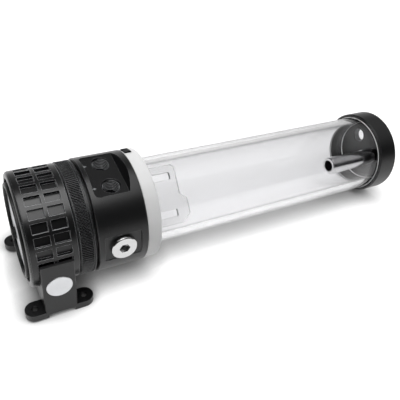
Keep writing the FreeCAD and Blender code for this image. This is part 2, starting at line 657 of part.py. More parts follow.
def machined_barrel():
    """Barrel whole: volute and neck behind, chamber and tube socket in front, two milled flats with ports."""
    barrel = turned([
        (NECK_REAR, 0), (NECK_REAR, NECK_RADIUS), (TOP_REAR, NECK_RADIUS),
        (TOP_REAR, TOP_RADIUS - TOP_EDGE_CHAMFER), (TOP_REAR + TOP_EDGE_CHAMFER, TOP_RADIUS),
        (TOP_FRONT - TOP_EDGE_CHAMFER, TOP_RADIUS), (TOP_FRONT, TOP_RADIUS - TOP_EDGE_CHAMFER),
        (TOP_FRONT, 0)])
    seal_front = NECK_REAR + PUMP_SEAL_DEPTH
    groove_start = TUBE_REAR + TUBE_SEAL_FROM_END
    groove_end = groove_start + TUBE_SEAL_LENGTH
    cuts = [
        disc(VOLUTE_RADIUS, NECK_REAR - OVERCUT, VOLUTE_FRONT),
        disc(INTAKE_RADIUS, VOLUTE_FRONT - OVERCUT, CHAMBER_REAR + OVERCUT),
        disc(CHAMBER_RADIUS, CHAMBER_REAR, TOP_FRONT),
        disc(TUBE_RADIUS + FIT_GAP, TUBE_REAR, TOP_FRONT + OVERCUT),
        tube(PUMP_SEAL_INNER + PUMP_SEAL_WIDTH, PUMP_SEAL_INNER, NECK_REAR - OVERCUT, seal_front),
        tube(TUBE_RADIUS + TUBE_SEAL_WIDTH, TUBE_RADIUS - OVERCUT, groove_start, groove_end),
        flat_cutter(TOP_FLAT_TILT, TOP_FLAT_HEIGHT, TOP_REAR + TOP_FLAT_REAR, TOP_FRONT - TOP_FLAT_FRONT,
                    TOP_FLAT_RAMP, TOP_FLAT_CORNER),
        flat_cutter(90, SIDE_FLAT_HEIGHT, TOP_REAR + SIDE_FLAT_REAR, TOP_FRONT - SIDE_FLAT_FRONT,
                    SIDE_FLAT_RAMP, SIDE_FLAT_CORNER),
        threaded_port(TOP_FLAT_TILT, TOP_FLAT_HEIGHT, PORT_SPACING / 2),
        threaded_port(TOP_FLAT_TILT, TOP_FLAT_HEIGHT, -PORT_SPACING / 2),
        threaded_port(90, SIDE_FLAT_HEIGHT, 0),
        chamber_passage(TOP_FLAT_TILT, TOP_FLAT_HEIGHT, PORT_SPACING / 2),
        chamber_passage(90, SIDE_FLAT_HEIGHT, 0),
    ]
    duct_x = seal_front + OUTLET_DUCT_WALL + OUTLET_DUCT_RADIUS
    duct_low = VOLUTE_RADIUS / 2
    duct_foot = at(duct_x, duct_low, TOP_FLAT_TILT, -PORT_SPACING / 2)
    duct_turn = at(duct_x, OUTLET_DUCT_HEIGHT, TOP_FLAT_TILT, -PORT_SPACING / 2)
    duct_length = OUTLET_DUCT_HEIGHT + OUTLET_DUCT_RADIUS - duct_low
    cuts.append(drilled(OUTLET_DUCT_RADIUS, duct_foot, radial(TOP_FLAT_TILT), duct_length))
    cuts.append(drilled(OUTLET_PASSAGE_RADIUS, duct_turn, X_AXIS, PORT_X - duct_x))
    for tool in cuts:
        barrel = barrel.cut(tool)
    return barrel


def pump_volute():
    """Rear block of the barrel, up to the chamber's floor: neck, volute, intake and the outlet's foot."""
    return machined_barrel().common(disc(TOP_RADIUS + OVERCUT, NECK_REAR - OVERCUT, CHAMBER_REAR))


def pump_top():
    """Front block of the barrel, joined to the rear one at the chamber's floor: chamber, ports and socket."""
    return machined_barrel().common(disc(TOP_RADIUS + OVERCUT, CHAMBER_REAR, TOP_FRONT + OVERCUT))


def pump_seal():
    """Flat ring between the pump flange and the pump top."""
    return tube(PUMP_SEAL_INNER + PUMP_SEAL_WIDTH - FIT_GAP, PUMP_SEAL_INNER + FIT_GAP,
                FLANGE_FRONT + FIT_GAP, NECK_REAR + PUMP_SEAL_DEPTH)


def port_plug():
    """Round-headed plug with a hexagon socket, and a groove for its seal under the head."""
    outward = radial(90)
    seat = SIDE_FLAT_HEIGHT + FIT_GAP
    head = drilled(PLUG_HEAD_RADIUS, at(PORT_X, seat, 90), outward, PLUG_HEAD_THICKNESS)
    rims = [edge for edge in head.Edges if edge.isClosed()]
    head = head.makeChamfer(PLUG_HEAD_CHAMFER, rims)
    shank = drilled(PLUG_SHANK_RADIUS, at(PORT_X, seat, 90), outward * -1, PLUG_SHANK_LENGTH)
    seal_outer = PORT_RADIUS + PORT_CHAMFER + PLUG_SEAL_WIDTH
    groove = drilled(seal_outer - PLUG_SEAL_WIDTH / 2, at(PORT_X, seat - OVERCUT, 90), outward,
                     OVERCUT + PLUG_SEAL_THICKNESS)
    groove = groove.cut(drilled(PLUG_SHANK_RADIUS, at(PORT_X, seat - OVERCUT, 90), outward,
                                OVERCUT + PLUG_SEAL_THICKNESS))
    corner = PLUG_SOCKET_ACROSS_FLATS / math.sqrt(3)
    face = at(PORT_X, seat + PLUG_HEAD_THICKNESS, 90)
    points = []
    for index in range(6):
        turn = math.radians(60 * index)
        points.append(face + Vector(corner * math.cos(turn), 0, corner * math.sin(turn)))
    socket = Part.Face(Part.makePolygon(points + points[:1])).extrude(outward * -PLUG_SOCKET_DEPTH)
    return head.fuse(shank).cut(groove).cut(socket)


def port_plug_seal():
    """Sealing ring under the plug's head."""
    outward = radial(90)
    low = SIDE_FLAT_HEIGHT + FIT_GAP
    outer_radius = PORT_RADIUS + PORT_CHAMFER + PLUG_SEAL_WIDTH / 2 - FIT_GAP
    thickness = PLUG_SEAL_THICKNESS - FIT_GAP
    ring = drilled(outer_radius, at(PORT_X, low, 90), outward, thickness)
    hole = drilled(PLUG_SHANK_RADIUS + FIT_GAP, at(PORT_X, low - OVERCUT, 90), outward,
                   thickness + 2 * OVERCUT)
    return ring.cut(hole)


def cable_exit_box(low, high, gap):
    """Block at the cable exit between two radii, smaller by a gap all round."""
    rear = TOP_FRONT + CABLE_EXIT_REAR
    return slab(rear + gap, rear + CABLE_EXIT_LENGTH - gap, CABLE_EXIT_ANGLE, low, high,
                CABLE_EXIT_WIDTH / 2 - gap)


def cable_exit_floor():
    """Radius at which the cable exit opens into the light channel."""
    return CHANNEL_INNER_RADIUS + CHANNEL_WIDTH / 2


def diffuser_ring():
    """Milky ring between the pump top and the tube, with a light channel and a notch for its cable exit."""
    front = TOP_FRONT + DIFFUSER_LENGTH
    ring = turned([
        (TOP_FRONT, TUBE_RADIUS + FIT_GAP), (TOP_FRONT, DIFFUSER_RADIUS - DIFFUSER_CHAMFER),
        (TOP_FRONT + DIFFUSER_CHAMFER, DIFFUSER_RADIUS), (front - DIFFUSER_CHAMFER, DIFFUSER_RADIUS),
        (front, DIFFUSER_RADIUS - DIFFUSER_CHAMFER), (front, TUBE_RADIUS + FIT_GAP)])
    channel = tube(CHANNEL_INNER_RADIUS + CHANNEL_WIDTH, CHANNEL_INNER_RADIUS,
                   TOP_FRONT - OVERCUT, TOP_FRONT + CHANNEL_DEPTH)
    return ring.cut(channel).cut(cable_exit_box(cable_exit_floor(), DIFFUSER_RADIUS + OVERCUT, 0))


def light_strip():
    """Flexible light strip bent round the channel."""
    inner = CHANNEL_INNER_RADIUS + FIT_GAP
    return tube(inner + STRIP_THICKNESS, inner, TOP_FRONT + FIT_GAP, TOP_FRONT + CHANNEL_DEPTH - STRIP_SHORT)


def light_cable_exit():
    """Black block that fills the notch in the diffuser ring and stands a little proud of it."""
    return cable_exit_box(cable_exit_floor() + FIT_GAP, DIFFUSER_RADIUS + CABLE_EXIT_PROUD, FIT_GAP)


def reservoir_tube():
    """Clear tube from the socket in the pump top to the cap."""
    return tube(TUBE_RADIUS, TUBE_BORE, TUBE_REAR, TUBE_FRONT)


def tube_base_seal():
    """Sealing ring in the socket's groove round the tube."""
    start = TUBE_REAR + TUBE_SEAL_FROM_END
    return tube(TUBE_RADIUS + TUBE_SEAL_WIDTH - FIT_GAP, TUBE_RADIUS + FIT_GAP,
                start + FIT_GAP, start + TUBE_SEAL_LENGTH - FIT_GAP)


def plate_point(x, side, out=0.0):
    """Point on the anti-vortex plate: station, distance across, and distance out along its normal."""
    return at(x, out, PLATE_NORMAL_ANGLE, -side)


def anti_vortex_plate():
    """Clear plate across the tube with a longer tab on one side and two slots."""
    rear = TUBE_REAR
    end = rear + PLATE_LENGTH
    tab = end + PLATE_TAB_LENGTH
    tab_corner = tab - (PLATE_HALF_WIDTH + PLATE_TAB_BOTTOM)
    outline = [
        (rear, -PLATE_HALF_WIDTH), (tab_corner, -PLATE_HALF_WIDTH), (tab, PLATE_TAB_BOTTOM),
        (tab, PLATE_TAB_TOP), (end, PLATE_TAB_SHOULDER), (end, PLATE_HALF_WIDTH - PLATE_CORNER),
        (end - PLATE_CORNER, PLATE_HALF_WIDTH), (rear, PLATE_HALF_WIDTH)]
    points = [plate_point(x, side, -PLATE_THICKNESS / 2) for x, side in outline]
    normal = radial(PLATE_NORMAL_ANGLE)
    plate = Part.Face(Part.makePolygon(points + points[:1])).extrude(normal * PLATE_THICKNESS)
    slot_end = end - PLATE_SLOT_FROM_END
    for offset in (-PLATE_SLOT_OFFSET, PLATE_SLOT_OFFSET):
        low, high = offset - PLATE_SLOT_WIDTH / 2, offset + PLATE_SLOT_WIDTH / 2
        corners = [(slot_end - PLATE_SLOT_LENGTH, low), (slot_end, low), (slot_end, high),
                   (slot_end - PLATE_SLOT_LENGTH, high)]
        points = [plate_point(x, side, -PLATE_THICKNESS) for x, side in corners]
        slot = Part.Face(Part.makePolygon(points + points[:1])).extrude(normal * (2 * PLATE_THICKNESS))
        plate = plate.cut(slot.makeFillet(PLATE_SLOT_CORNER, edges_along(slot, normal)))
    return plate


def end_cap():
    """Cap with a skirt round the tube, a seal groove under the tube's end, and two threaded ports."""
    body = turned([
        (CAP_REAR, CAP_SKIRT_BORE), (CAP_REAR, CAP_RADIUS - CAP_EDGE_CHAMFER),
        (CAP_REAR + CAP_EDGE_CHAMFER, CAP_RADIUS), (CAP_FRONT - CAP_EDGE_CHAMFER, CAP_RADIUS),
        (CAP_FRONT, CAP_RADIUS - CAP_EDGE_CHAMFER), (CAP_FRONT, 0),
        (CAP_WEB_REAR, 0), (CAP_WEB_REAR, CAP_SKIRT_BORE)])
    body = body.cut(tube(CAP_SEAL_INNER + CAP_SEAL_WIDTH, CAP_SEAL_INNER,
                         CAP_WEB_REAR - OVERCUT, CAP_WEB_REAR + CAP_SEAL_DEPTH))
    adapter_seat = CAP_WEB_REAR + ADAPTER_IN_CAP + FIT_GAP
    for angle, port_rear in ((FILL_PORT_ANGLE, CAP_WEB_REAR - OVERCUT), (RETURN_PORT_ANGLE, adapter_seat)):
        rear, front = at(port_rear, CAP_PORT_ORBIT, angle), at(CAP_FRONT, CAP_PORT_ORBIT, angle)
        body = body.cut(drilled(PORT_RADIUS, rear, X_AXIS, CAP_FRONT - port_rear + OVERCUT))
        body = body.cut(chamfer_tool(PORT_RADIUS, PORT_CHAMFER, front, X_AXIS * -1))
    seat_rear = CAP_WEB_REAR - OVERCUT
    seat_length = adapter_seat + OVERCUT - seat_rear
    return body.cut(drilled(ADAPTER_RADIUS + FIT_GAP, return_centre(seat_rear), X_AXIS, seat_length))


def tube_cap_seal():
    """Flat ring between the tube's end and the cap."""
    return tube(CAP_SEAL_INNER + CAP_SEAL_WIDTH - FIT_GAP, CAP_SEAL_INNER + FIT_GAP,
                CAP_WEB_REAR, CAP_WEB_REAR + CAP_SEAL_DEPTH - FIT_GAP)


def return_centre(x):
    """Point on the return tube's axis at a station."""
    return at(x, CAP_PORT_ORBIT, RETURN_PORT_ANGLE)


def return_tube():
    """Polished steel tube that carries the returning coolant into the chamber."""
    end = CAP_WEB_REAR - ADAPTER_SHOW
    start = end - RETURN_TUBE_LENGTH
    body = drilled(RETURN_TUBE_RADIUS, return_centre(start), X_AXIS, RETURN_TUBE_LENGTH)
    body = body.makeChamfer(RETURN_TUBE_CHAMFER, [edge for edge in body.Edges if edge.isClosed()])
    bore = drilled(RETURN_TUBE_BORE, return_centre(start - OVERCUT), X_AXIS, RETURN_TUBE_LENGTH + 2 * OVERCUT)
    socket = drilled(ADAPTER_RADIUS + FIT_GAP, return_centre(end - ADAPTER_IN_TUBE), X_AXIS,
                     ADAPTER_IN_TUBE + OVERCUT)
    return body.cut(bore).cut(socket)


def return_adapter():
    """Black nipple between the return tube and the cap's port."""
    start = CAP_WEB_REAR - ADAPTER_SHOW - ADAPTER_IN_TUBE
    length = ADAPTER_IN_TUBE + ADAPTER_SHOW + ADAPTER_IN_CAP
    body = drilled(ADAPTER_RADIUS, return_centre(start), X_AXIS, length)
    return body.cut(drilled(ADAPTER_BORE, return_centre(start - OVERCUT), X_AXIS, length + 2 * OVERCUT))


PIECES = (
    mounting_bracket, cradle_screws, side_badge, pump_sleeve, motor_can, motor_rear_plate, cable_grommet,
    control_board, stator_core, stator_coils, separator_bowl, bearing_ball, rotor_magnet, impeller,
    retention_ring, pump_volute, pump_top, pump_seal, port_plug, port_plug_seal, diffuser_ring, light_strip,
    light_cable_exit, reservoir_tube, tube_base_seal, anti_vortex_plate, end_cap, tube_cap_seal,
    return_tube, return_adapter)

os.makedirs("parts", exist_ok=True)
for piece in PIECES:
    shape = piece()
    shape.exportStep("parts/" + piece.__name__ + ".step")
    box = shape.BoundBox
    print("%-18s solids %2d valid %s volume %9.1f  x %.1f..%.1f" % (
        piece.__name__, len(shape.Solids), shape.isValid(), shape.Volume, box.XMin, box.XMax))
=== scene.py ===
"""Studio scene of a coolant pump reservoir: ribbed sleeve, knurled ring, ported top, clear tube and cap."""

from __future__ import annotations

import logging
import math
from dataclasses import dataclass, field
from enum import Enum

import bpy
import numpy as np
from mathutils import Matrix, Vector


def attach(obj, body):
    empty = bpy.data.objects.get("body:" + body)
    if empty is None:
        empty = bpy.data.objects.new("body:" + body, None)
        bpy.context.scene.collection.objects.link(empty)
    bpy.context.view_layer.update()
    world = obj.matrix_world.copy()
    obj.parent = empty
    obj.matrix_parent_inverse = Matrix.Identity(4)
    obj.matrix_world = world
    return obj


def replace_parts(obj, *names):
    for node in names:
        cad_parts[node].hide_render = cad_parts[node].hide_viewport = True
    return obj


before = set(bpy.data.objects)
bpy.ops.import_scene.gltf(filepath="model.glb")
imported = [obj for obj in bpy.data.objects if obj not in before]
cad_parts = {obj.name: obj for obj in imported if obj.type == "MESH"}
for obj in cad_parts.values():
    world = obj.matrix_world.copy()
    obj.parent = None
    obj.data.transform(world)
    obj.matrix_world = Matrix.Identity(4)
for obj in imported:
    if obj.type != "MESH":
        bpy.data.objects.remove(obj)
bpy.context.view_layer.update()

LOG = logging.getLogger("coolant_pump_reservoir")
MM = 0.001
FULL_TURN = 2 * math.pi
AXIS_HEIGHT = 43.2
AXIS_POINT = np.array((0.0, 0.0, AXIS_HEIGHT))
FORWARD = np.array((1.0, 0.0, 0.0))
TOP_FLAT_TILT = 8.0

Colour = tuple[float, float, float, float]
Triple = tuple[float, float, float]
Pair = tuple[float, float]
Socket = bpy.types.NodeSocket
Tree = bpy.types.NodeTree


def to_linear(hex_colour: str) -> Colour:
    """Turn an sRGB hex colour into linear values, by the sRGB curve.

    Args:
        hex_colour: six hex digits after a hash sign.

    Returns:
        Linear red, green and blue, and full opacity.
    """
    channels = [int(hex_colour[place:place + 2], 16) / 255 for place in (1, 3, 5)]
    red, green, blue = [c / 12.92 if c <= 0.04045 else ((c + 0.055) / 1.055) ** 2.4 for c in channels]
    return red, green, blue, 1.0


def add_node(tree: Tree, kind: str, inputs: dict | None = None, **settings: object) -> bpy.types.Node:
    """Add a shader node with its settings, its input values and its links.

    Args:
        tree: node tree that takes the node.
        kind: Blender's type name of the node.
        inputs: input name or number to a value, or to the output socket that feeds it.
        settings: properties of the node itself.

    Returns:
        The new node.
    """
    node = tree.nodes.new(kind)
    for name, value in settings.items():
        setattr(node, name, value)
    for name, value in (inputs or {}).items():
        if isinstance(value, Socket):
            tree.links.new(value, node.inputs[name])
        else:
            node.inputs[name].default_value = value
    return node


def bare_material(name: str) -> tuple[bpy.types.Material, Tree]:
    """Start a material whose node tree is still empty.

    Args:
        name: the material's name.

    Returns:
        The material and its node tree.
    """
    made = bpy.data.materials.new(name)
    made.use_nodes = True
    made.node_tree.nodes.clear()
    return made, made.node_tree


class Relief(Enum):
    """Direction of a surface's fine relief: its share of the full rate of change along x, y and z."""

    # Even pits.
    BLASTED = (1.0, 1.0, 1.0)
    # Rings round the long axis.
    TURNED = (1.0, 0.02, 0.02)
    # Straight scratches across the long axis.
    BRUSHED = (1.0, 0.03, 0.03)


@dataclass(frozen=True)
class Finish:
    """A surface finish: its colour and gloss, and relief at its spacing in millimetres."""

    name: str
    colour: str
    roughness: float
    metallic: float = 0.0
    ior: float = 1.5
    # Direction of the relief, the distance between its pits or lines, and their depth.
    relief: Relief = Relief.BLASTED
    spacing: float = 0.25
    depth: float = 0.004
    # Slow drift of colour over the surface, as a share, and the size of its clouds.
    mottle: float = 0.12
    mottle_size: float = 9.0
    # Drift of the roughness from pit to pit, as a share.
    gloss_drift: float = 0.12
    # Radius of the broken edges, and the colour of the pale band on them, if they have one: partly wear,
    # partly painted highlight.
    edge_round: float = 0.18
    edge_wear_highlight_colour: str = ""
    # Agreement of the rounded and the flat normal where the pale edge band starts and where it is full.
    edge_band: Pair = (0.995, 0.88)
    edge_share: float = 0.85
    # Place along the axis where two solids meet that are one block in reality, so the joint gets no pale
    # edge band.
    joint_x: float = 0.0
    joint_half_width: float = 0.45
    # Painted highlight colour of a thread's crests, and the height, as a share, from which it shows.
    crest_highlight_colour: str = ""
    crest_from: float = 0.7

    def material(self) -> bpy.types.Material:
        """Build the finish as a material.

        Returns:
            Material whose colour and roughness drift slightly and whose relief follows the finish.
        """
        made, tree = bare_material(self.name)
        place = add_node(tree, "ShaderNodeTexCoord").outputs["Object"]
        scale = tuple(share / (self.spacing * MM) for share in self.relief.value)
        fine = add_node(tree, "ShaderNodeMapping", {"Vector": place, "Scale": scale})
        grain = add_node(tree, "ShaderNodeTexNoise", {
            "Vector": fine.outputs["Vector"], "Scale": 1.0, "Detail": 2.0, "Roughness": 0.6})
        rounded = add_node(tree, "ShaderNodeBevel", {"Radius": self.edge_round * MM}, samples=4)
        bump = add_node(tree, "ShaderNodeBump", {
            "Height": grain.outputs["Fac"], "Distance": self.depth * MM, "Strength": 1.0,
            "Normal": rounded.outputs["Normal"]})
        colour = self.drifting_colour(tree, place)
        if self.edge_wear_highlight_colour:
            colour = self.worn_and_highlit_edges(tree, colour, rounded.outputs["Normal"])
        if self.crest_highlight_colour:
            colour = self.painted_crest_highlights(tree, colour)
        gloss = add_node(tree, "ShaderNodeMapRange", {
            "Value": grain.outputs["Fac"], "To Min": self.roughness * (1 - self.gloss_drift),
            "To Max": self.roughness * (1 + self.gloss_drift)})
        shader = add_node(tree, "ShaderNodeBsdfPrincipled", {
            "Base Color": colour, "Roughness": gloss.outputs["Result"], "Metallic": self.metallic,
            "IOR": self.ior, "Normal": bump.outputs["Normal"]})
        add_node(tree, "ShaderNodeOutputMaterial", {"Surface": shader.outputs["BSDF"]})
        return made

    def drifting_colour(self, tree: Tree, place: Socket) -> Socket:
        """Let the colour drift between a darker and a lighter share of itself, in soft clouds.

        Args:
            tree: the material's node tree.
            place: place on the object.

        Returns:
            Socket with the colour.
        """
        cloud = add_node(tree, "ShaderNodeTexNoise", {
            "Vector": place, "Scale": 1.0 / (self.mottle_size * MM), "Detail": 3.0})
        plain = to_linear(self.colour)[:3]
        dark = tuple(c * (1 - self.mottle) for c in plain) + (1.0,)
        light = tuple(min(c * (1 + self.mottle), 1.0) for c in plain) + (1.0,)
        return add_node(tree, "ShaderNodeMix", {0: cloud.outputs["Fac"], 6: dark, 7: light},
                        data_type="RGBA").outputs[2]

    def worn_and_highlit_edges(self, tree: Tree, colour: Socket, rounded: Socket) -> Socket:
        """Lighten the narrow band along sharp edges: partly wear where handling thins the finish, partly
        painted highlight.

        Args:
            tree: the material's node tree.
            colour: colour of the open surface.
            rounded: normal of the rounded edges.

        Returns:
            Socket with the colour and its lighter edges.
        """
        true_normal = add_node(tree, "ShaderNodeNewGeometry").outputs["Normal"]
        agreement = add_node(tree, "ShaderNodeVectorMath", {0: rounded, 1: true_normal},
                             operation="DOT_PRODUCT")
        band = add_node(tree, "ShaderNodeMapRange", {
            "Value": agreement.outputs["Value"], "From Min": self.edge_band[0],
            "From Max": self.edge_band[1], "To Max": self.edge_share})
        share = band.outputs["Result"]
        if self.joint_x:
            place = add_node(tree, "ShaderNodeTexCoord").outputs["Object"]
            station = add_node(tree, "ShaderNodeSeparateXYZ", {"Vector": place}).outputs["X"]
            at_joint = add_node(tree, "ShaderNodeMath", {
                0: station, 1: self.joint_x * MM, 2: self.joint_half_width * MM}, operation="COMPARE")
            off_joint = add_node(tree, "ShaderNodeMath", {0: share, 1: at_joint.outputs["Value"]},
                                 operation="SUBTRACT", use_clamp=True)
            share = off_joint.outputs["Value"]
        return add_node(tree, "ShaderNodeMix", {0: share, 6: colour, 7: to_linear(self.edge_wear_highlight_colour)},
                        data_type="RGBA").outputs[2]

    def painted_crest_highlights(self, tree: Tree, colour: Socket) -> Socket:
        """Paint a highlight on a thread towards the top of its crests.

        Args:
            tree: the material's node tree.
            colour: colour of the flanks.

        Returns:
            Socket with the colour and its painted crest highlights.
        """
        crest = add_node(tree, "ShaderNodeAttribute", attribute_name="crest").outputs["Fac"]
        top = add_node(tree, "ShaderNodeMapRange", {
            "Value": crest, "From Min": self.crest_from, "From Max": 1.0})
        return add_node(tree, "ShaderNodeMix", {
            0: top.outputs["Result"], 6: colour, 7: to_linear(self.crest_highlight_colour)},
            data_type="RGBA").outputs[2]


@dataclass(frozen=True)
class ClearFinish:
    """A clear solid that light passes through, such as glass or cast acrylic, with greyer cut edges."""

    name: str
    tint: str
    ior: float
    # Colour of the light that gets through to the solid's shadow.
    shade: str = "#f0f0f0"
    roughness: float = 0.0
    # Colour and roughness of a sheet's cut edges, and the direction that its clear faces look.
    edge_tint: str = ""
    edge_roughness: float = 0.35
    face_normal: Triple = (0.0, 0.0, 1.0)
    # Painted shade where a curved wall is seen at a grazing angle, which darkens its edge lines, and where
    # that starts and is full.
    grazing_shade_tint: str = ""
    grazing_band: Pair = (0.66, 0.84)

    def material(self) -> bpy.types.Material:
        """Build the clear material, which lets shadows stay pale as thin clear walls do.

        Returns:
            Material that refracts, and only dims the light that falls through it.
        """
        made, tree = bare_material(self.name)
        body = add_node(tree, "ShaderNodeBsdfPrincipled", {
            "Base Color": to_linear(self.tint), "Roughness": self.roughness, "IOR": self.ior,
            "Transmission Weight": 1.0})
        if self.edge_tint:
            self.cut_edges(tree, body)
        if self.grazing_shade_tint:
            self.paint_grazing_shade(tree, body)
        through = add_node(tree, "ShaderNodeBsdfTransparent", {"Color": to_linear(self.shade)})
        shadow = add_node(tree, "ShaderNodeLightPath").outputs["Is Shadow Ray"]
        mix = add_node(tree, "ShaderNodeMixShader", {
            0: shadow, 1: body.outputs["BSDF"], 2: through.outputs["BSDF"]})
        add_node(tree, "ShaderNodeOutputMaterial", {"Surface": mix.outputs["Shader"]})
        return made

    def cut_edges(self, tree: Tree, body: bpy.types.Node) -> None:
        """Grey and frost the sides of a sheet that don't look the way its clear faces do.

        Args:
            tree: the material's node tree.
            body: shader of the clear solid.
        """
        true_normal = add_node(tree, "ShaderNodeNewGeometry").outputs["Normal"]
        facing = add_node(tree, "ShaderNodeVectorMath", {0: true_normal, 1: self.face_normal},
                          operation="DOT_PRODUCT")
        either_side = add_node(tree, "ShaderNodeMath", {0: facing.outputs["Value"]}, operation="ABSOLUTE")
        edge = add_node(tree, "ShaderNodeMath", {0: either_side.outputs["Value"], 1: 0.5},
                        operation="LESS_THAN").outputs["Value"]
        colour = add_node(tree, "ShaderNodeMix", {
            0: edge, 6: to_linear(self.tint), 7: to_linear(self.edge_tint)}, data_type="RGBA")
        frost = add_node(tree, "ShaderNodeMapRange", {
            "Value": edge, "To Min": self.roughness, "To Max": self.edge_roughness})
        tree.links.new(colour.outputs[2], body.inputs["Base Color"])
        tree.links.new(frost.outputs["Result"], body.inputs["Roughness"])

    def paint_grazing_shade(self, tree: Tree, body: bpy.types.Node) -> None:
        """Paint shade on the wall where it is seen at a grazing angle, so its edge lines read dark.

        Args:
            tree: the material's node tree.
            body: shader of the clear solid.
        """
        grazing = add_node(tree, "ShaderNodeLayerWeight", {"Blend": 0.5}).outputs["Facing"]
        shaded_share = add_node(tree, "ShaderNodeMapRange", {
            "Value": grazing, "From Min": self.grazing_band[0], "From Max": self.grazing_band[1]})
        colour = add_node(tree, "ShaderNodeMix", {
            0: shaded_share.outputs["Result"], 6: to_linear(self.tint), 7: to_linear(self.grazing_shade_tint)},
            data_type="RGBA")
        tree.links.new(colour.outputs[2], body.inputs["Base Color"])


@dataclass(frozen=True)
class MilkyFinish:
    """White plastic that light spreads in, so its edges and shaded side stay soft."""

    name: str
    colour: str
    # How far light spreads under the skin, in millimetres, and the share that does.
    spread: float
    roughness: float
    spread_share: float = 0.5
    spacing: float = 0.4
    depth: float = 0.002

    def material(self) -> bpy.types.Material:
        """Build the milky material.

        Returns:
            Material that scatters light under its satin skin.
        """
        made, tree = bare_material(self.name)
        place = add_node(tree, "ShaderNodeTexCoord").outputs["Object"]
        grain = add_node(tree, "ShaderNodeTexNoise", {
            "Vector": place, "Scale": 1 / (self.spacing * MM), "Detail": 2.0})
        bump = add_node(tree, "ShaderNodeBump", {
            "Height": grain.outputs["Fac"], "Distance": self.depth * MM})
        shader = add_node(tree, "ShaderNodeBsdfPrincipled", {
            "Base Color": to_linear(self.colour), "Roughness": self.roughness,
            "Subsurface Weight": self.spread_share, "Subsurface Radius": (1.0, 1.0, 1.0),
            "Subsurface Scale": self.spread * MM, "Normal": bump.outputs["Normal"]})
        add_node(tree, "ShaderNodeOutputMaterial", {"Surface": shader.outputs["BSDF"]})
        return made


AnyFinish = Finish | ClearFinish | MilkyFinish

# Blasting leaves pits under 0.1 mm, drawn coarser so that they show: the black gets a soft, even sheen.
# Its edges are painted a little paler: partly wear, partly painted highlight.
BLACK_ANODISED = Finish("bead_blasted_black_anodised_aluminium", "#121213", 0.40, edge_wear_highlight_colour="#3c3d3f")

# Milled and lightly blasted, with pits drawn as coarse: a tighter sheen than the bracket's, and bright lines
# of painted highlight, partly wear, along the edges of the pockets.
SLEEVE_ANODISED = Finish("machined_black_anodised_aluminium", "#0f0f10", 0.30, edge_round=0.36,
                         edge_wear_highlight_colour="#dcdee1")

# The knurl's crests are painted grey, partly as wear from the grip and partly as painted highlight, and its
# valleys stay black, so the slant reads as fine stripes. Its own pits are drawn as coarse as the bracket's.
RING_ANODISED = Finish("knurled_black_anodised_aluminium", "#101011", 0.33, edge_round=0.23,
                       edge_wear_highlight_colour="#989a9d")

# Powder flows into a low orange peel half a millimetre across, which softens the highlights.
POWDER_COAT = Finish("black_powder_coated_steel", "#101011", 0.42, spacing=0.5, depth=0.01)

# The tool leaves rings about 0.1 mm apart, which draw the gloss out along the barrel. Its edges are painted
# grey, partly as wear and partly as painted highlight.
BLACK_ACETAL = Finish("turned_black_acetal", "#101011", 0.34, ior=1.48, relief=Relief.TURNED, spacing=0.12,
                      depth=0.002, edge_round=0.16, edge_wear_highlight_colour="#8a8b8e", joint_x=33.0)

# The tap leaves faint chatter on the flanks, which stay deep black. The crests carry pale lines of painted
# highlight.
THREAD_ACETAL = Finish("cut_acetal_thread", "#0b0b0c", 0.3, ior=1.6, spacing=0.3, depth=0.002,
                       crest_highlight_colour="#c4c6c9")

# Carbon black fills it and its skin is dull, so it stays the darkest thing in the white ring.
EXIT_MOULDING = Finish("moulded_black_polycarbonate", "#030304", 0.5, ior=1.2, spacing=0.6, depth=0.004)

# Nylon takes the mould's fine spark texture, drawn coarser than the real 0.1 mm: dull and a little grey.
MOULDED_BLACK = Finish("moulded_black_nylon", "#18191a", 0.55, spacing=0.6, depth=0.006)

# The oxide keeps the steel's own gloss and turns it near black.
BLACK_OXIDE = Finish("black_oxide_steel", "#1d1d1e", 0.35, metallic=1.0)

# Rubber is dull all over, so a seal reads as a plain dark line.
SEAL_RUBBER = Finish("moulded_nitrile_rubber", "#151515", 0.6, spacing=0.5, depth=0.004)

# Thin zinc with a pale passivated skin: light grey and satin, between a metal's gloss and paint's, with
# rolling lines drawn 0.3 mm apart so that they show.
ZINC_PLATE = Finish("zinc_plated_steel", "#e6e8ea", 0.45, metallic=0.45, relief=Relief.BRUSHED, spacing=0.3,
                    depth=0.002)

# Scratches about 0.1 mm apart, drawn at twice that, spread the highlight to one side.
BADGE_ALUMINIUM = Finish("brushed_aluminium", "#d9dadc", 0.34, metallic=1.0, relief=Relief.BRUSHED,
                         spacing=0.2, depth=0.002)

# Bright nickel is almost a mirror, so the plug shows the room in its dome.
NICKEL_PLATE = Finish("bright_nickel_plated_brass", "#d3d3d3", 0.16, metallic=1.0, spacing=0.5, depth=0.001)

# Polished as it turned, which left faint rings: the bands that it mirrors have slightly soft borders.
POLISHED_STEEL = Finish("polished_stainless_steel", "#dcdcdd", 0.2, metallic=1.0, relief=Relief.TURNED,
                        spacing=0.4, depth=0.0008)

# Solder lacquer is smooth, glossy and deep green.
BOARD_LACQUER = Finish("green_board_lacquer", "#0f4a2a", 0.3)

# The stack's sheets are half a millimetre thick, and their edges show as fine rings.
LAMINATED_STEEL = Finish("laminated_electrical_steel", "#8a8b8d", 0.4, metallic=1.0, relief=Relief.TURNED,
                         spacing=0.5, depth=0.02)

# Enamel makes the copper glossy, and turns of 0.6 mm wire give it an uneven skin.
COPPER_ENAMEL = Finish("enamelled_copper_wire", "#b4652d", 0.25, metallic=1.0, spacing=0.6, depth=0.02)

# Polished alumina is smooth and ivory white.
BALL_CERAMIC = Finish("polished_alumina", "#eceae4", 0.1)

# Magnet powder in resin is matt and dark grey.
MAGNET_MOULD = Finish("moulded_magnet_compound", "#2b2b2d", 0.45)

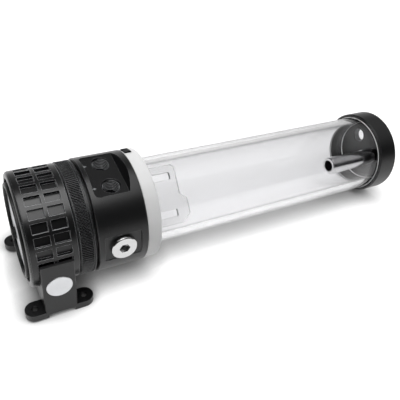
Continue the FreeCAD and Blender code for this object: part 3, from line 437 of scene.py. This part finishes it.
# Silicone over the lights is soft white with a dull gloss.
LIGHT_TAPE = Finish("white_silicone_tape", "#e8e7e2", 0.4)

# Pad-printed ink is thin and matt.
MARK_PAINT = Finish("grey_pad_printing", "#77797b", 0.5, depth=0.001)

# The glass is clear face on, with painted shade along both edge lines, where the 5 mm wall is seen at a
# grazing angle.
TUBE_GLASS = ClearFinish("clear_borosilicate_tube", "#f4f4f5", 1.47, shade="#ebebeb",
                         grazing_shade_tint="#5e5f61")

# The faces are cast and clear. The laser leaves the cut edges frosted, so they draw the plate's outline.
CLEAR_ACRYLIC = ClearFinish("laser_cut_clear_acrylic", "#fbfbfb", 1.49, edge_tint="#8f9092",
                            face_normal=(0.0, -0.743, 0.669))

# Painted highlight: a thin white line at a rim, in a milky plastic whose light spreads just under its face.
RIM_HIGHLIGHT = MilkyFinish("painted_rim_highlight", "#f0f0f0", 0.5, 0.5)

# Light goes 2.5 mm deep into the milky ring, which keeps its shaded side pale and its edges soft.
OPAL_ACRYLIC = MilkyFinish("opal_acrylic", "#e6e6e6", 2.5, 0.4)


class Dresser:
    """Keeps one material for each finish and puts it on pieces and carried-over nodes."""

    def __init__(self) -> None:
        """Start with no material made."""
        self.made: dict[str, bpy.types.Material] = {}

    def material(self, finish: AnyFinish) -> bpy.types.Material:
        """Give the finish's material, made the first time it is asked for.

        Args:
            finish: the finish.

        Returns:
            Its material.
        """
        if finish.name not in self.made:
            self.made[finish.name] = finish.material()
        return self.made[finish.name]

    def node(self, name: str, finish: AnyFinish) -> None:
        """Dress a node of the frame.

        Args:
            name: the node's name.
            finish: finish that it takes.
        """
        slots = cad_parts[name].data.materials
        slots.clear()
        slots.append(self.material(finish))
        LOG.info("node %s: %s", name, finish.name)

    def piece(self, name: str, points: np.ndarray, faces: np.ndarray, finish: AnyFinish, body: str,
              smooth: bool = True) -> bpy.types.Object:
        """Make a piece from points and faces that rides on a body.

        Args:
            name: the piece's name.
            points: one row of x, y and z in metres per point.
            faces: one row of point numbers per face.
            finish: finish that it takes.
            body: body of the frame that carries it.
            smooth: whether its faces shade as one surface.

        Returns:
            The new object.
        """
        mesh = bpy.data.meshes.new(name)
        mesh.from_pydata(points.tolist(), [], faces.tolist())
        mesh.polygons.foreach_set("use_smooth", np.full(len(mesh.polygons), smooth))
        mesh.materials.append(self.material(finish))
        mesh.update()
        made = bpy.data.objects.new(name, mesh)
        bpy.context.scene.collection.objects.link(made)
        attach(made, body)
        LOG.info("piece %s: %d faces on %s", name, len(faces), body)
        return made


def radial(angle: float) -> np.ndarray:
    """Unit vector square to the long axis, by degrees from straight up towards -Y."""
    turn = math.radians(angle)
    return np.array((0.0, -math.sin(turn), math.cos(turn)))


def tangent(angle: float) -> np.ndarray:
    """Unit vector round the long axis at an angle, towards larger angles."""
    turn = math.radians(angle)
    return np.array((0.0, -math.cos(turn), -math.sin(turn)))


def around_once(steps: int) -> np.ndarray:
    """Angles evenly once round, in radians, without the last one that would meet the first."""
    return np.linspace(0, FULL_TURN, steps, endpoint=False)


def grid_faces(rows: int, columns: int, looped: bool = False) -> np.ndarray:
    """Number the four corners of each face of a grid of points whose rows run once round.

    Args:
        rows: rows of points.
        columns: points in each row.
        looped: whether the last row joins the first too.

    Returns:
        One row of four point numbers per face.
    """
    row, column = np.meshgrid(np.arange(rows if looped else rows - 1), np.arange(columns), indexing="ij")
    after = (column + 1) % columns
    below = (row + 1) % rows
    corners = (row * columns + column, row * columns + after, below * columns + after,
               below * columns + column)
    return np.stack([corner.ravel() for corner in corners], axis=1)


def about_axis(origin: np.ndarray, along: np.ndarray, distance: np.ndarray, radius: np.ndarray,
               turn: np.ndarray) -> np.ndarray:
    """Place points by distance along an axis, radius from it and turn about it.

    Args:
        origin: point on the axis in millimetres.
        along: unit vector of the axis.
        distance: distances along it in millimetres.
        radius: radii in millimetres.
        turn: angles in radians.

    Returns:
        Points in metres, one per row.
    """
    clear_of_axis = (1.0, 0.0, 0.0) if abs(along[0]) < 0.9 else (0.0, 1.0, 0.0)
    side = np.cross(along, clear_of_axis)
    side /= np.linalg.norm(side)
    other = np.cross(along, side)
    spread = radius[..., None] * (np.cos(turn)[..., None] * side + np.sin(turn)[..., None] * other)
    points = origin + distance[..., None] * along + spread
    return points.reshape(-1, 3) * MM


@dataclass(frozen=True)
class Band:
    """Place of a piece that runs once round the long axis: its ends along it and its two radii, in mm."""

    name: str
    stations: Pair
    radii: Pair
    finish: AnyFinish
    body: str
    slot: str


@dataclass(frozen=True)
class FlatRing(Band):
    """Flat-sided ring: a four-cornered profile carried once round the axis."""

    steps: int = 120

    def make(self, dresser: Dresser) -> bpy.types.Object:
        """Turn the ring.

        Args:
            dresser: gives the material.

        Returns:
            The ring.
        """
        start, end = self.stations
        inner, outer = self.radii
        profile = np.array(((start, inner), (start, outer), (end, outer), (end, inner)))
        place, turn = np.meshgrid(np.arange(len(profile)), around_once(self.steps), indexing="ij")
        points = about_axis(AXIS_POINT, FORWARD, profile[place, 0], profile[place, 1], turn)
        return dresser.piece(self.name, points, grid_faces(*place.shape, looped=True), self.finish,
                             self.body, smooth=False)


@dataclass(frozen=True)
class Hoop(Band):
    """Thin hoop with an oval section, which dents strand by strand where it has strands."""

    strands: int = 0
    steps: int = 288
    steps_per_strand: int = 6
    section_points: int = 12
    dent_depth: float = 0.45

    def make(self, dresser: Dresser) -> None:
        """Carry the section round: half its width by the cosine and half its depth by the sine.

        With strands both shrink and grow once per strand, a little later at each point of the section.

        Args:
            dresser: gives the material.
        """
        steps = max(self.steps, self.strands * self.steps_per_strand)
        section, turn = np.meshgrid(around_once(self.section_points), around_once(steps), indexing="ij")
        wave = 0.5 + 0.5 * np.cos(self.strands * turn + section)
        size = 1 - self.dent_depth * wave * (self.strands > 0)
        middle, half_width = sum(self.stations) / 2, (self.stations[1] - self.stations[0]) / 2
        half_depth = (self.radii[1] - self.radii[0]) / 2
        radius = self.radii[0] + half_depth * (1 + np.sin(section) * size)
        points = about_axis(AXIS_POINT, FORWARD, middle + half_width * np.cos(section) * size, radius, turn)
        faces = grid_faces(*section.shape, looped=True)[:, ::-1]
        dresser.piece(self.name, points, faces, self.finish, self.body)


@dataclass(frozen=True)
class PortThread:
    """Internal pipe thread of a port, drawn as the crests that stand in from the drilled wall."""

    name: str
    mouth: np.ndarray
    outward: np.ndarray
    body: str
    slot: str
    wall: float = 5.88
    crest_height: float = 0.7
    pitch: float = 1.337
    start: float = 0.5
    length: float = 9.0
    steps: int = 72
    steps_per_pitch: int = 8
    # Height of the flanks' wave and how far it is sunk, so that roots and crests come out flat.
    flank_rise: float = 1.6
    flank_sunk: float = 0.3

    def make(self, dresser: Dresser) -> None:
        """Make the thread: the radius falls and rises once per pitch, shifted evenly round the axis.

        Args:
            dresser: gives the material.
        """
        rows = int(self.length / self.pitch * self.steps_per_pitch)
        depth, turn = np.meshgrid(np.linspace(self.start, self.start + self.length, rows),
                                  around_once(self.steps), indexing="ij")
        phase = (depth / self.pitch + turn / FULL_TURN) % 1.0
        wave = 1 - 2 * np.abs(phase - 0.5)
        crest = np.clip(self.flank_rise * wave - self.flank_sunk, 0, 1)
        points = about_axis(self.mouth, self.outward, -depth, self.wall - self.crest_height * crest, turn)
        made = dresser.piece(self.name, points, grid_faces(*depth.shape), THREAD_ACETAL, self.body)
        height = made.data.attributes.new("crest", "FLOAT", "POINT")
        height.data.foreach_set("value", crest.ravel())


@dataclass
class PumpEnd:
    """Bracket, sleeve and motor with its rear plate sunk in a dark collar, and the unseen pieces inside."""

    nodes: dict[str, Finish] = field(default_factory=lambda: {
        "mounting_bracket": BLACK_ANODISED, "cradle_screws": BLACK_OXIDE, "side_badge": BADGE_ALUMINIUM,
        "pump_sleeve": SLEEVE_ANODISED, "motor_can": POWDER_COAT, "motor_rear_plate": ZINC_PLATE,
        "cable_grommet": SEAL_RUBBER, "control_board": BOARD_LACQUER, "stator_core": LAMINATED_STEEL,
        "stator_coils": COPPER_ENAMEL, "separator_bowl": MOULDED_BLACK, "bearing_ball": BALL_CERAMIC,
        "rotor_magnet": MAGNET_MOULD, "impeller": MOULDED_BLACK, "retention_ring": RING_ANODISED,
    })
    # The plate is a disc but for a pinhole at its centre, and the collar is the wall that it is sunk in.
    plate: FlatRing = FlatRing("sunk_rear_plate", (-14.75, -13.55), (0.02, 27.42), ZINC_PLATE, "pump",
                               "plate_steel")
    collar: FlatRing = FlatRing("rear_collar", (-16.42, -13.55), (27.45, 28.36), POWDER_COAT, "pump",
                                "can_black")

    def build(self, dresser: Dresser) -> None:
        """Dress the nodes of the pump end and put in the plate and its collar.

        Args:
            dresser: gives the materials.
        """
        for name, finish in self.nodes.items():
            dresser.node(name, finish)
        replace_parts(self.plate.make(dresser), "motor_rear_plate")
        self.collar.make(dresser)


@dataclass
class PumpTop:
    """Machined top with its threaded ports, their flow marks, and the side port's plug."""

    nodes: dict[str, Finish] = field(default_factory=lambda: {
        "pump_volute": BLACK_ACETAL, "pump_top": BLACK_ACETAL, "pump_seal": SEAL_RUBBER,
        "port_plug": NICKEL_PLATE, "port_plug_seal": SEAL_RUBBER,
    })
    # Ports in millimetres: place along the axis, height of the flat over it, and distance between the two.
    port_x: float = 41.7
    flat_height: float = 33.0
    port_spacing: float = 20.5
    # Arrow beside a port: its distance, half length, stand over the flat, and corners as shares of its size.
    mark_from_port: float = 10.6
    mark_size: float = 1.3
    mark_proud: float = 0.03
    mark_outline: tuple[Pair, ...] = ((1.0, 0.0), (-0.2, 0.9), (-0.2, 0.3), (-1.0, 0.3), (-1.0, -0.3),
                                      (-0.2, -0.3), (-0.2, -0.9))
    # Plug: height of its seat over the axis, and the knurl's radius, ridges, ends and run-out.
    plug_seat: float = 36.55
    knurl_radius: float = 8.24
    knurl_height: float = 0.14
    knurl_count: int = 72
    knurl_stations: Pair = (0.75, 2.45)
    knurl_runout: float = 0.15
    steps_per_ridge: int = 4

    def mouth(self, offset: float) -> np.ndarray:
        """Centre of a port's mouth on the top flat, in millimetres, by its offset across the flat."""
        on_axis = AXIS_POINT + self.port_x * FORWARD
        return on_axis + radial(TOP_FLAT_TILT) * self.flat_height + tangent(TOP_FLAT_TILT) * offset

    def build(self, dresser: Dresser) -> None:
        """Dress the nodes and add threads, marks and the plug's knurl.

        Args:
            dresser: gives the materials.
        """
        for name, finish in self.nodes.items():
            dresser.node(name, finish)
        for name, side in (("inlet", 0.5), ("outlet", -0.5)):
            mouth = self.mouth(side * self.port_spacing)
            thread = PortThread(f"{name}_thread", mouth, radial(TOP_FLAT_TILT), "reservoir", "top_black")
            thread.make(dresser)
            self.flow_mark(name, mouth, dresser)
        self.plug_knurl(dresser)

    def flow_mark(self, name: str, mouth: np.ndarray, dresser: Dresser) -> None:
        """Add a small printed arrow beside a port: it points at the inlet and away from the outlet.

        Its corners are shares of its size along the long axis and across the flat.

        Args:
            name: inlet or outlet.
            mouth: centre of the port's mouth.
            dresser: gives the material.
        """
        ahead = FORWARD if name == "inlet" else -FORWARD
        across = tangent(TOP_FLAT_TILT)
        centre = mouth - self.mark_from_port * FORWARD + radial(TOP_FLAT_TILT) * self.mark_proud
        along, aside = np.array(self.mark_outline).T[..., None] * self.mark_size
        points = (centre + along * ahead + aside * across) * MM
        dresser.piece(f"{name}_flow_mark", points, np.arange(len(points))[None, :], MARK_PAINT, "reservoir",
                      smooth=False)

    def plug_knurl(self, dresser: Dresser) -> None:
        """Add the straight knurl round the plug's head: the radius rises and falls evenly with the turn.

        Args:
            dresser: gives the material.
        """
        outward = radial(90)
        seat = AXIS_POINT + self.port_x * FORWARD + outward * self.plug_seat
        start, end = self.knurl_stations
        profile = np.array(((start, 0.0), (start + self.knurl_runout, 1.0), (end - self.knurl_runout, 1.0),
                            (end, 0.0)))
        turns = around_once(self.knurl_count * self.steps_per_ridge)
        distance, turn = np.meshgrid(profile[:, 0], turns, indexing="ij")
        ridge = 1 - 2 * np.abs((turn * self.knurl_count / FULL_TURN) % 1.0 - 0.5)
        radius = self.knurl_radius + self.knurl_height * ridge * profile[:, 1][:, None]
        points = about_axis(seat, outward, distance, radius, turn)
        dresser.piece("plug_knurl", points, grid_faces(*distance.shape)[:, ::-1], NICKEL_PLATE, "plug")


@dataclass
class Reservoir:
    """Milky ring, clear tube, slotted plate and the capped end with its steel tube."""

    nodes: dict[str, AnyFinish] = field(default_factory=lambda: {
        "diffuser_ring": OPAL_ACRYLIC, "light_strip": LIGHT_TAPE, "light_cable_exit": EXIT_MOULDING,
        "tube_base_seal": SEAL_RUBBER, "anti_vortex_plate": CLEAR_ACRYLIC, "end_cap": BLACK_ACETAL,
        "tube_cap_seal": SEAL_RUBBER, "return_tube": POLISHED_STEEL, "return_adapter": BLACK_OXIDE,
    })
    hoops: tuple[Hoop, ...] = (
        # Black bead put in as the painted shade of the gap between the barrel and the milky ring.
        Hoop("barrel_edge_shade_bead", (57.6, 58.32), (37.3, 38.02), SEAL_RUBBER, "reservoir", "rubber_black"),
        # White hoop painted as the highlight line at the tube's front rim.
        Hoop("tube_front_rim_highlight", (271.2, 272.15), (24.4, 24.97), RIM_HIGHLIGHT, "reservoir", "tube_clear"),
        # White hoop painted as the highlight line in the cap's mouth, broken into dashes strand by strand.
        Hoop("cap_mouth_highlight_cord", (261.4, 262.15), (30.04, 30.6), RIM_HIGHLIGHT, "cap_seal", "diffuser_white",
             strands=96),
    )
    # Tube in millimetres: outer and inner radius, its ends along the axis, and the radius of its rims.
    tube_radius: float = 30.0
    tube_bore: float = 25.0
    tube_rear: float = 50.0
    tube_front: float = 272.2
    tube_rim: float = 0.3
    # Distance from a rounded corner to the extra point on the straight wall.
    wall_point: float = 0.5
    tube_steps: int = 288
    # Cap: its outer face, the ports' distance from the axis, their angles and their threads' lengths.
    cap_front: float = 278.75
    port_orbit: float = 13.8
    port_angles: dict[str, float] = field(default_factory=lambda: {"fill": -43.0, "return": 74.0})
    thread_lengths: dict[str, float] = field(default_factory=lambda: {"fill": 5.9, "return": 3.4})

    def build(self, dresser: Dresser) -> None:
        """Dress the nodes, make the tube and the painted shade and highlight lines at its edges, and thread
        the ports of the cap.

        Args:
            dresser: gives the materials.
        """
        for name, finish in self.nodes.items():
            dresser.node(name, finish)
        self.tube(dresser)
        for hoop in self.hoops:
            hoop.make(dresser)
        for name, angle in self.port_angles.items():
            mouth = AXIS_POINT + self.cap_front * FORWARD + radial(angle) * self.port_orbit
            thread = PortThread(f"{name}_thread", mouth, FORWARD, "cap", "cap_black",
                                length=self.thread_lengths[name])
            thread.make(dresser)

    def tube(self, dresser: Dresser) -> None:
        """Turn the tube: a closed profile with fire-polished rims, carried once round the axis.

        Each corner of the profile is a quarter circle, with a point a little before it and one a little
        after it on the straight walls, so that the long walls keep their own normals.

        Args:
            dresser: gives the material.
        """
        rim = self.tube_rim
        rear, front = self.tube_rear + rim, self.tube_front - rim
        corners = ((rear, self.tube_radius - rim, 135.0), (front, self.tube_radius - rim, 45.0),
                   (front, self.tube_bore + rim, -45.0), (rear, self.tube_bore + rim, -135.0))
        bend = np.radians(np.array((-45.0, -45.0, -22.5, 0.0, 22.5, 45.0, 45.0)))
        ahead = self.wall_point * np.array((-1.0, 0.0, 0.0, 0.0, 0.0, 0.0, 1.0))
        middle = np.array([corner[:2] for corner in corners])[:, None, :]
        way = np.radians(np.array([corner[2] for corner in corners]))[:, None] - bend
        bent = np.stack((np.cos(way), np.sin(way)), axis=2)
        straight = ahead[None, :, None] * np.stack((np.sin(way), -np.cos(way)), axis=2)
        profile = (middle + rim * bent + straight).reshape(-1, 2)
        place, turn = np.meshgrid(np.arange(len(profile)), around_once(self.tube_steps), indexing="ij")
        points = about_axis(AXIS_POINT, FORWARD, profile[place, 0], profile[place, 1], turn)
        made = dresser.piece("clear_tube", points, grid_faces(*place.shape, looped=True), TUBE_GLASS,
                             "reservoir")
        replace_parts(made, "reservoir_tube")


@dataclass(frozen=True)
class SoftLamp:
    """Rectangular soft lamp, by its place, what it looks at, its two sides in metres and its power."""

    name: str
    place: Triple
    target: Triple
    sides: Pair
    watts: float
    mirrored: bool

    def make(self) -> None:
        """Hang the lamp, turned to its target; one that isn't mirrored stays out of metal and glass."""
        lamp = bpy.data.lights.new(self.name, "AREA")
        lamp.shape = "RECTANGLE"
        lamp.size, lamp.size_y = self.sides
        lamp.energy = self.watts
        made = bpy.data.objects.new(self.name, lamp)
        bpy.context.scene.collection.objects.link(made)
        made.location = self.place
        sight = Vector(self.target) - Vector(self.place)
        made.rotation_euler = sight.to_track_quat("-Z", "Y").to_euler()
        made.visible_glossy = self.mirrored
        made.visible_transmission = self.mirrored


@dataclass
class Studio:
    """White sweep, soft lamps and the camera, with the object lying on its front feet and the cap's rim."""

    # Where the front feet and the cap's rim rest, in millimetres, and half the paper's side in metres.
    foot_front: float = 21.75
    cap_bottom_x: float = 278.0
    cap_bottom_z: float = 10.4
    floor_half: float = 4.0
    # Glow of the paper in direct sight, under the lamp and far from it, and where it changes, in metres.
    floor_centre: Triple = (-0.05, -0.2, 0.0)
    floor_reach: Pair = (0.1, 1.1)
    floor_lift: Pair = (0.93, 1.0)
    # Glow of the paper through clear walls and in mirrors.
    floor_through: float = 0.34
    floor_shine: float = 0.45
    # Shadow close to what stands on the paper: how far it reaches, which way it leans and how hard it is.
    contact_reach: float = 0.0195
    contact_lean: Triple = (-0.1, -0.6, 0.79)
    contact_power: float = 3.2
    # Colour of the paper in sight and as the object's surroundings, which it lights from below.
    paper_seen: str = "#999999"
    paper_unseen: str = "#dddddd"
    # Levels of the room: its near walls, the lit backdrop low behind, and the paler ceiling.
    near_wall: float = 0.016
    backdrop: float = 0.84
    backdrop_way: Triple = (0.41, 0.91, 0.0)
    backdrop_narrowness: float = 6.0
    ceiling: float = 0.44
    ceiling_way: Triple = (0.69, -0.03, 0.72)
    ceiling_band: Pair = (0.78, 0.96)
    lamps: tuple[SoftLamp, ...] = (
        SoftLamp("overhead_softbox", (-0.05, -0.2, 1.05), (-0.05, -0.2, 0.0), (0.75, 0.95), 10.0, True),
        SoftLamp("rear_softbox", (0.15, 0.9, 0.8), (0.12, 0.0, 0.05), (0.8, 0.5), 3.6, False),
    )
    # Camera in millimetres, with its angles in degrees.
    camera_place: Triple = (-37.4, -246.3, 261.0)
    azimuth: float = 31.93
    elevation: float = 38.36
    roll: float = 7.49
    lens: float = 44.3

    def build(self) -> None:
        """Make floor, room, lamps and camera."""
        self.floor()
        self.room()
        for lamp in self.lamps:
            lamp.make()
        self.camera()

    def floor(self) -> None:
        """Lay a plane that touches the front feet and the cap's rim."""
        slope = self.cap_bottom_z / (self.cap_bottom_x - self.foot_front)
        signs = np.array(((-1, -1), (1, -1), (1, 1), (-1, 1)))
        x, y = (signs * self.floor_half).T
        corners = np.stack((x, y, (x - self.foot_front * MM) * slope), axis=1)
        mesh = bpy.data.meshes.new("studio_floor")
        mesh.from_pydata(corners.tolist(), [], [(0, 1, 2, 3)])
        mesh.materials.append(self.paper())
        floor = bpy.data.objects.new("studio_floor", mesh)
        bpy.context.scene.collection.objects.link(floor)

    def paper(self) -> bpy.types.Material:
        """Make the sweep's paper: it glows white in sight and keeps the object's shadow.

        Returns:
            The paper's material.
        """
        made, tree = bare_material("white_paper_sweep")
        seen, bounced = self.ray_kinds(tree)
        plain = add_node(tree, "ShaderNodeLightPath").outputs["Is Camera Ray"]
        level = add_node(tree, "ShaderNodeMix", {0: plain, 2: self.floor_through, 3: self.glow(tree)},
                         data_type="FLOAT")
        direct = add_node(tree, "ShaderNodeMath", {0: seen, 1: level.outputs[0]}, operation="MULTIPLY")
        mirrored = add_node(tree, "ShaderNodeMath", {0: bounced, 1: self.floor_shine}, operation="MULTIPLY")
        lift = add_node(tree, "ShaderNodeMath", {0: direct.outputs["Value"], 1: mirrored.outputs["Value"]},
                        operation="ADD")
        glow = add_node(tree, "ShaderNodeEmission", {"Strength": lift.outputs["Value"]})
        pale = add_node(tree, "ShaderNodeMix", {
            0: plain, 6: to_linear(self.paper_unseen), 7: to_linear(self.paper_seen)}, data_type="RGBA")
        paper = add_node(tree, "ShaderNodeBsdfDiffuse", {"Color": pale.outputs[2]})
        both = add_node(tree, "ShaderNodeAddShader", {0: glow.outputs["Emission"], 1: paper.outputs["BSDF"]})
        add_node(tree, "ShaderNodeOutputMaterial", {"Surface": both.outputs["Shader"]})
        return made

    def glow(self, tree: Tree) -> Socket:
        """Level of the paper in direct sight, which falls close to what stands on it.

        Args:
            tree: the paper's node tree.

        Returns:
            Socket with the level.
        """
        place = add_node(tree, "ShaderNodeTexCoord").outputs["Object"]
        reach = add_node(tree, "ShaderNodeVectorMath", {0: place, 1: self.floor_centre},
                         operation="DISTANCE")
        spread = add_node(tree, "ShaderNodeMapRange", {
            "Value": reach.outputs["Value"], "From Min": self.floor_reach[0],
            "From Max": self.floor_reach[1], "To Min": self.floor_lift[0], "To Max": self.floor_lift[1]})
        lean = add_node(tree, "ShaderNodeCombineXYZ", dict(zip("XYZ", self.contact_lean)))
        near = add_node(tree, "ShaderNodeAmbientOcclusion", {
            "Distance": self.contact_reach, "Normal": lean.outputs["Vector"]}, samples=16)
        open_sky = add_node(tree, "ShaderNodeMath", {0: near.outputs["AO"], 1: self.contact_power},
                            operation="POWER")
        level = add_node(tree, "ShaderNodeMath", {
            0: spread.outputs["Result"], 1: open_sky.outputs["Value"]}, operation="MULTIPLY")
        return level.outputs["Value"]

    @staticmethod
    def ray_kinds(tree: Tree) -> tuple[Socket, Socket]:
        """Tell what sees the backdrop directly or through clear walls from what sees it mirrored.

        Args:
            tree: node tree that takes the nodes.

        Returns:
            Sockets that are 1 for the first kind and for the second kind.
        """
        path = add_node(tree, "ShaderNodeLightPath").outputs
        mirrored = add_node(tree, "ShaderNodeMath", {0: path["Glossy Depth"], 1: 0.5},
                            operation="GREATER_THAN").outputs["Value"]
        either = add_node(tree, "ShaderNodeMath", {0: path["Is Camera Ray"], 1: path["Is Transmission Ray"]},
                          operation="ADD", use_clamp=True)
        seen = add_node(tree, "ShaderNodeMath", {0: either.outputs["Value"], 1: mirrored},
                        operation="SUBTRACT", use_clamp=True)
        bounced = add_node(tree, "ShaderNodeMath", {0: path["Is Glossy Ray"], 1: mirrored},
                           operation="MULTIPLY")
        return seen.outputs["Value"], bounced.outputs["Value"]

    def room(self) -> None:
        """Make the room: dim, with a lit backdrop low behind and a paler ceiling, white in direct sight."""
        world = bpy.data.worlds.new("studio_room")
        bpy.context.scene.world = world
        world.use_nodes = True
        tree = world.node_tree
        tree.nodes.clear()
        seen, _ = self.ray_kinds(tree)
        way = add_node(tree, "ShaderNodeTexCoord").outputs["Generated"]
        behind = add_node(tree, "ShaderNodeVectorMath", {0: way, 1: self.backdrop_way},
                          operation="DOT_PRODUCT")
        ahead = add_node(tree, "ShaderNodeMath", {0: behind.outputs["Value"], 1: 0.0}, operation="MAXIMUM")
        lobe = add_node(tree, "ShaderNodeMath", {0: ahead.outputs["Value"], 1: self.backdrop_narrowness},
                        operation="POWER")
        walls = add_node(tree, "ShaderNodeMapRange", {
            "Value": lobe.outputs["Value"], "To Min": self.near_wall, "To Max": self.backdrop})
        aloft = add_node(tree, "ShaderNodeVectorMath", {0: way, 1: self.ceiling_way},
                         operation="DOT_PRODUCT")
        ceiling = add_node(tree, "ShaderNodeMapRange", {
            "Value": aloft.outputs["Value"], "From Min": self.ceiling_band[0],
            "From Max": self.ceiling_band[1], "To Max": self.ceiling})
        both = add_node(tree, "ShaderNodeMath", {0: walls.outputs["Result"], 1: ceiling.outputs["Result"]},
                        operation="ADD")
        level = add_node(tree, "ShaderNodeMix", {0: seen, 2: both.outputs["Value"], 3: 1.0},
                         data_type="FLOAT")
        sky = add_node(tree, "ShaderNodeBackground", {
            "Color": to_linear("#ffffff"), "Strength": level.outputs[0]})
        add_node(tree, "ShaderNodeOutputWorld", {"Surface": sky.outputs["Background"]})

    def camera(self) -> None:
        """Set the camera at the photograph's place, with its small roll."""
        azimuth, elevation, roll = (math.radians(a) for a in (self.azimuth, self.elevation, self.roll))
        ahead = Vector((math.sin(azimuth) * math.cos(elevation), math.cos(azimuth) * math.cos(elevation),
                        -math.sin(elevation)))
        level = ahead.cross(Vector((0, 0, 1))).normalized()
        upright = level.cross(ahead)
        right = level * math.cos(roll) + upright * math.sin(roll)
        up = upright * math.cos(roll) - level * math.sin(roll)
        camera = bpy.data.cameras.new("photo_camera")
        camera.sensor_width = 36.0
        camera.lens = self.lens
        camera.clip_start = 0.01
        made = bpy.data.objects.new("photo_camera", camera)
        bpy.context.scene.collection.objects.link(made)
        turn = Matrix((right, up, -ahead)).transposed().to_4x4()
        made.matrix_world = Matrix.Translation(Vector(self.camera_place) * MM) @ turn
        bpy.context.scene.camera = made


def main() -> None:
    """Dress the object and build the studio."""
    logging.basicConfig(level=logging.INFO, format="%(name)s %(message)s")
    dresser = Dresser()
    PumpEnd().build(dresser)
    PumpTop().build(dresser)
    Reservoir().build(dresser)
    Studio().build()
    bpy.context.scene.view_settings.view_transform = "Standard"


if __name__ == "__main__":
    main()
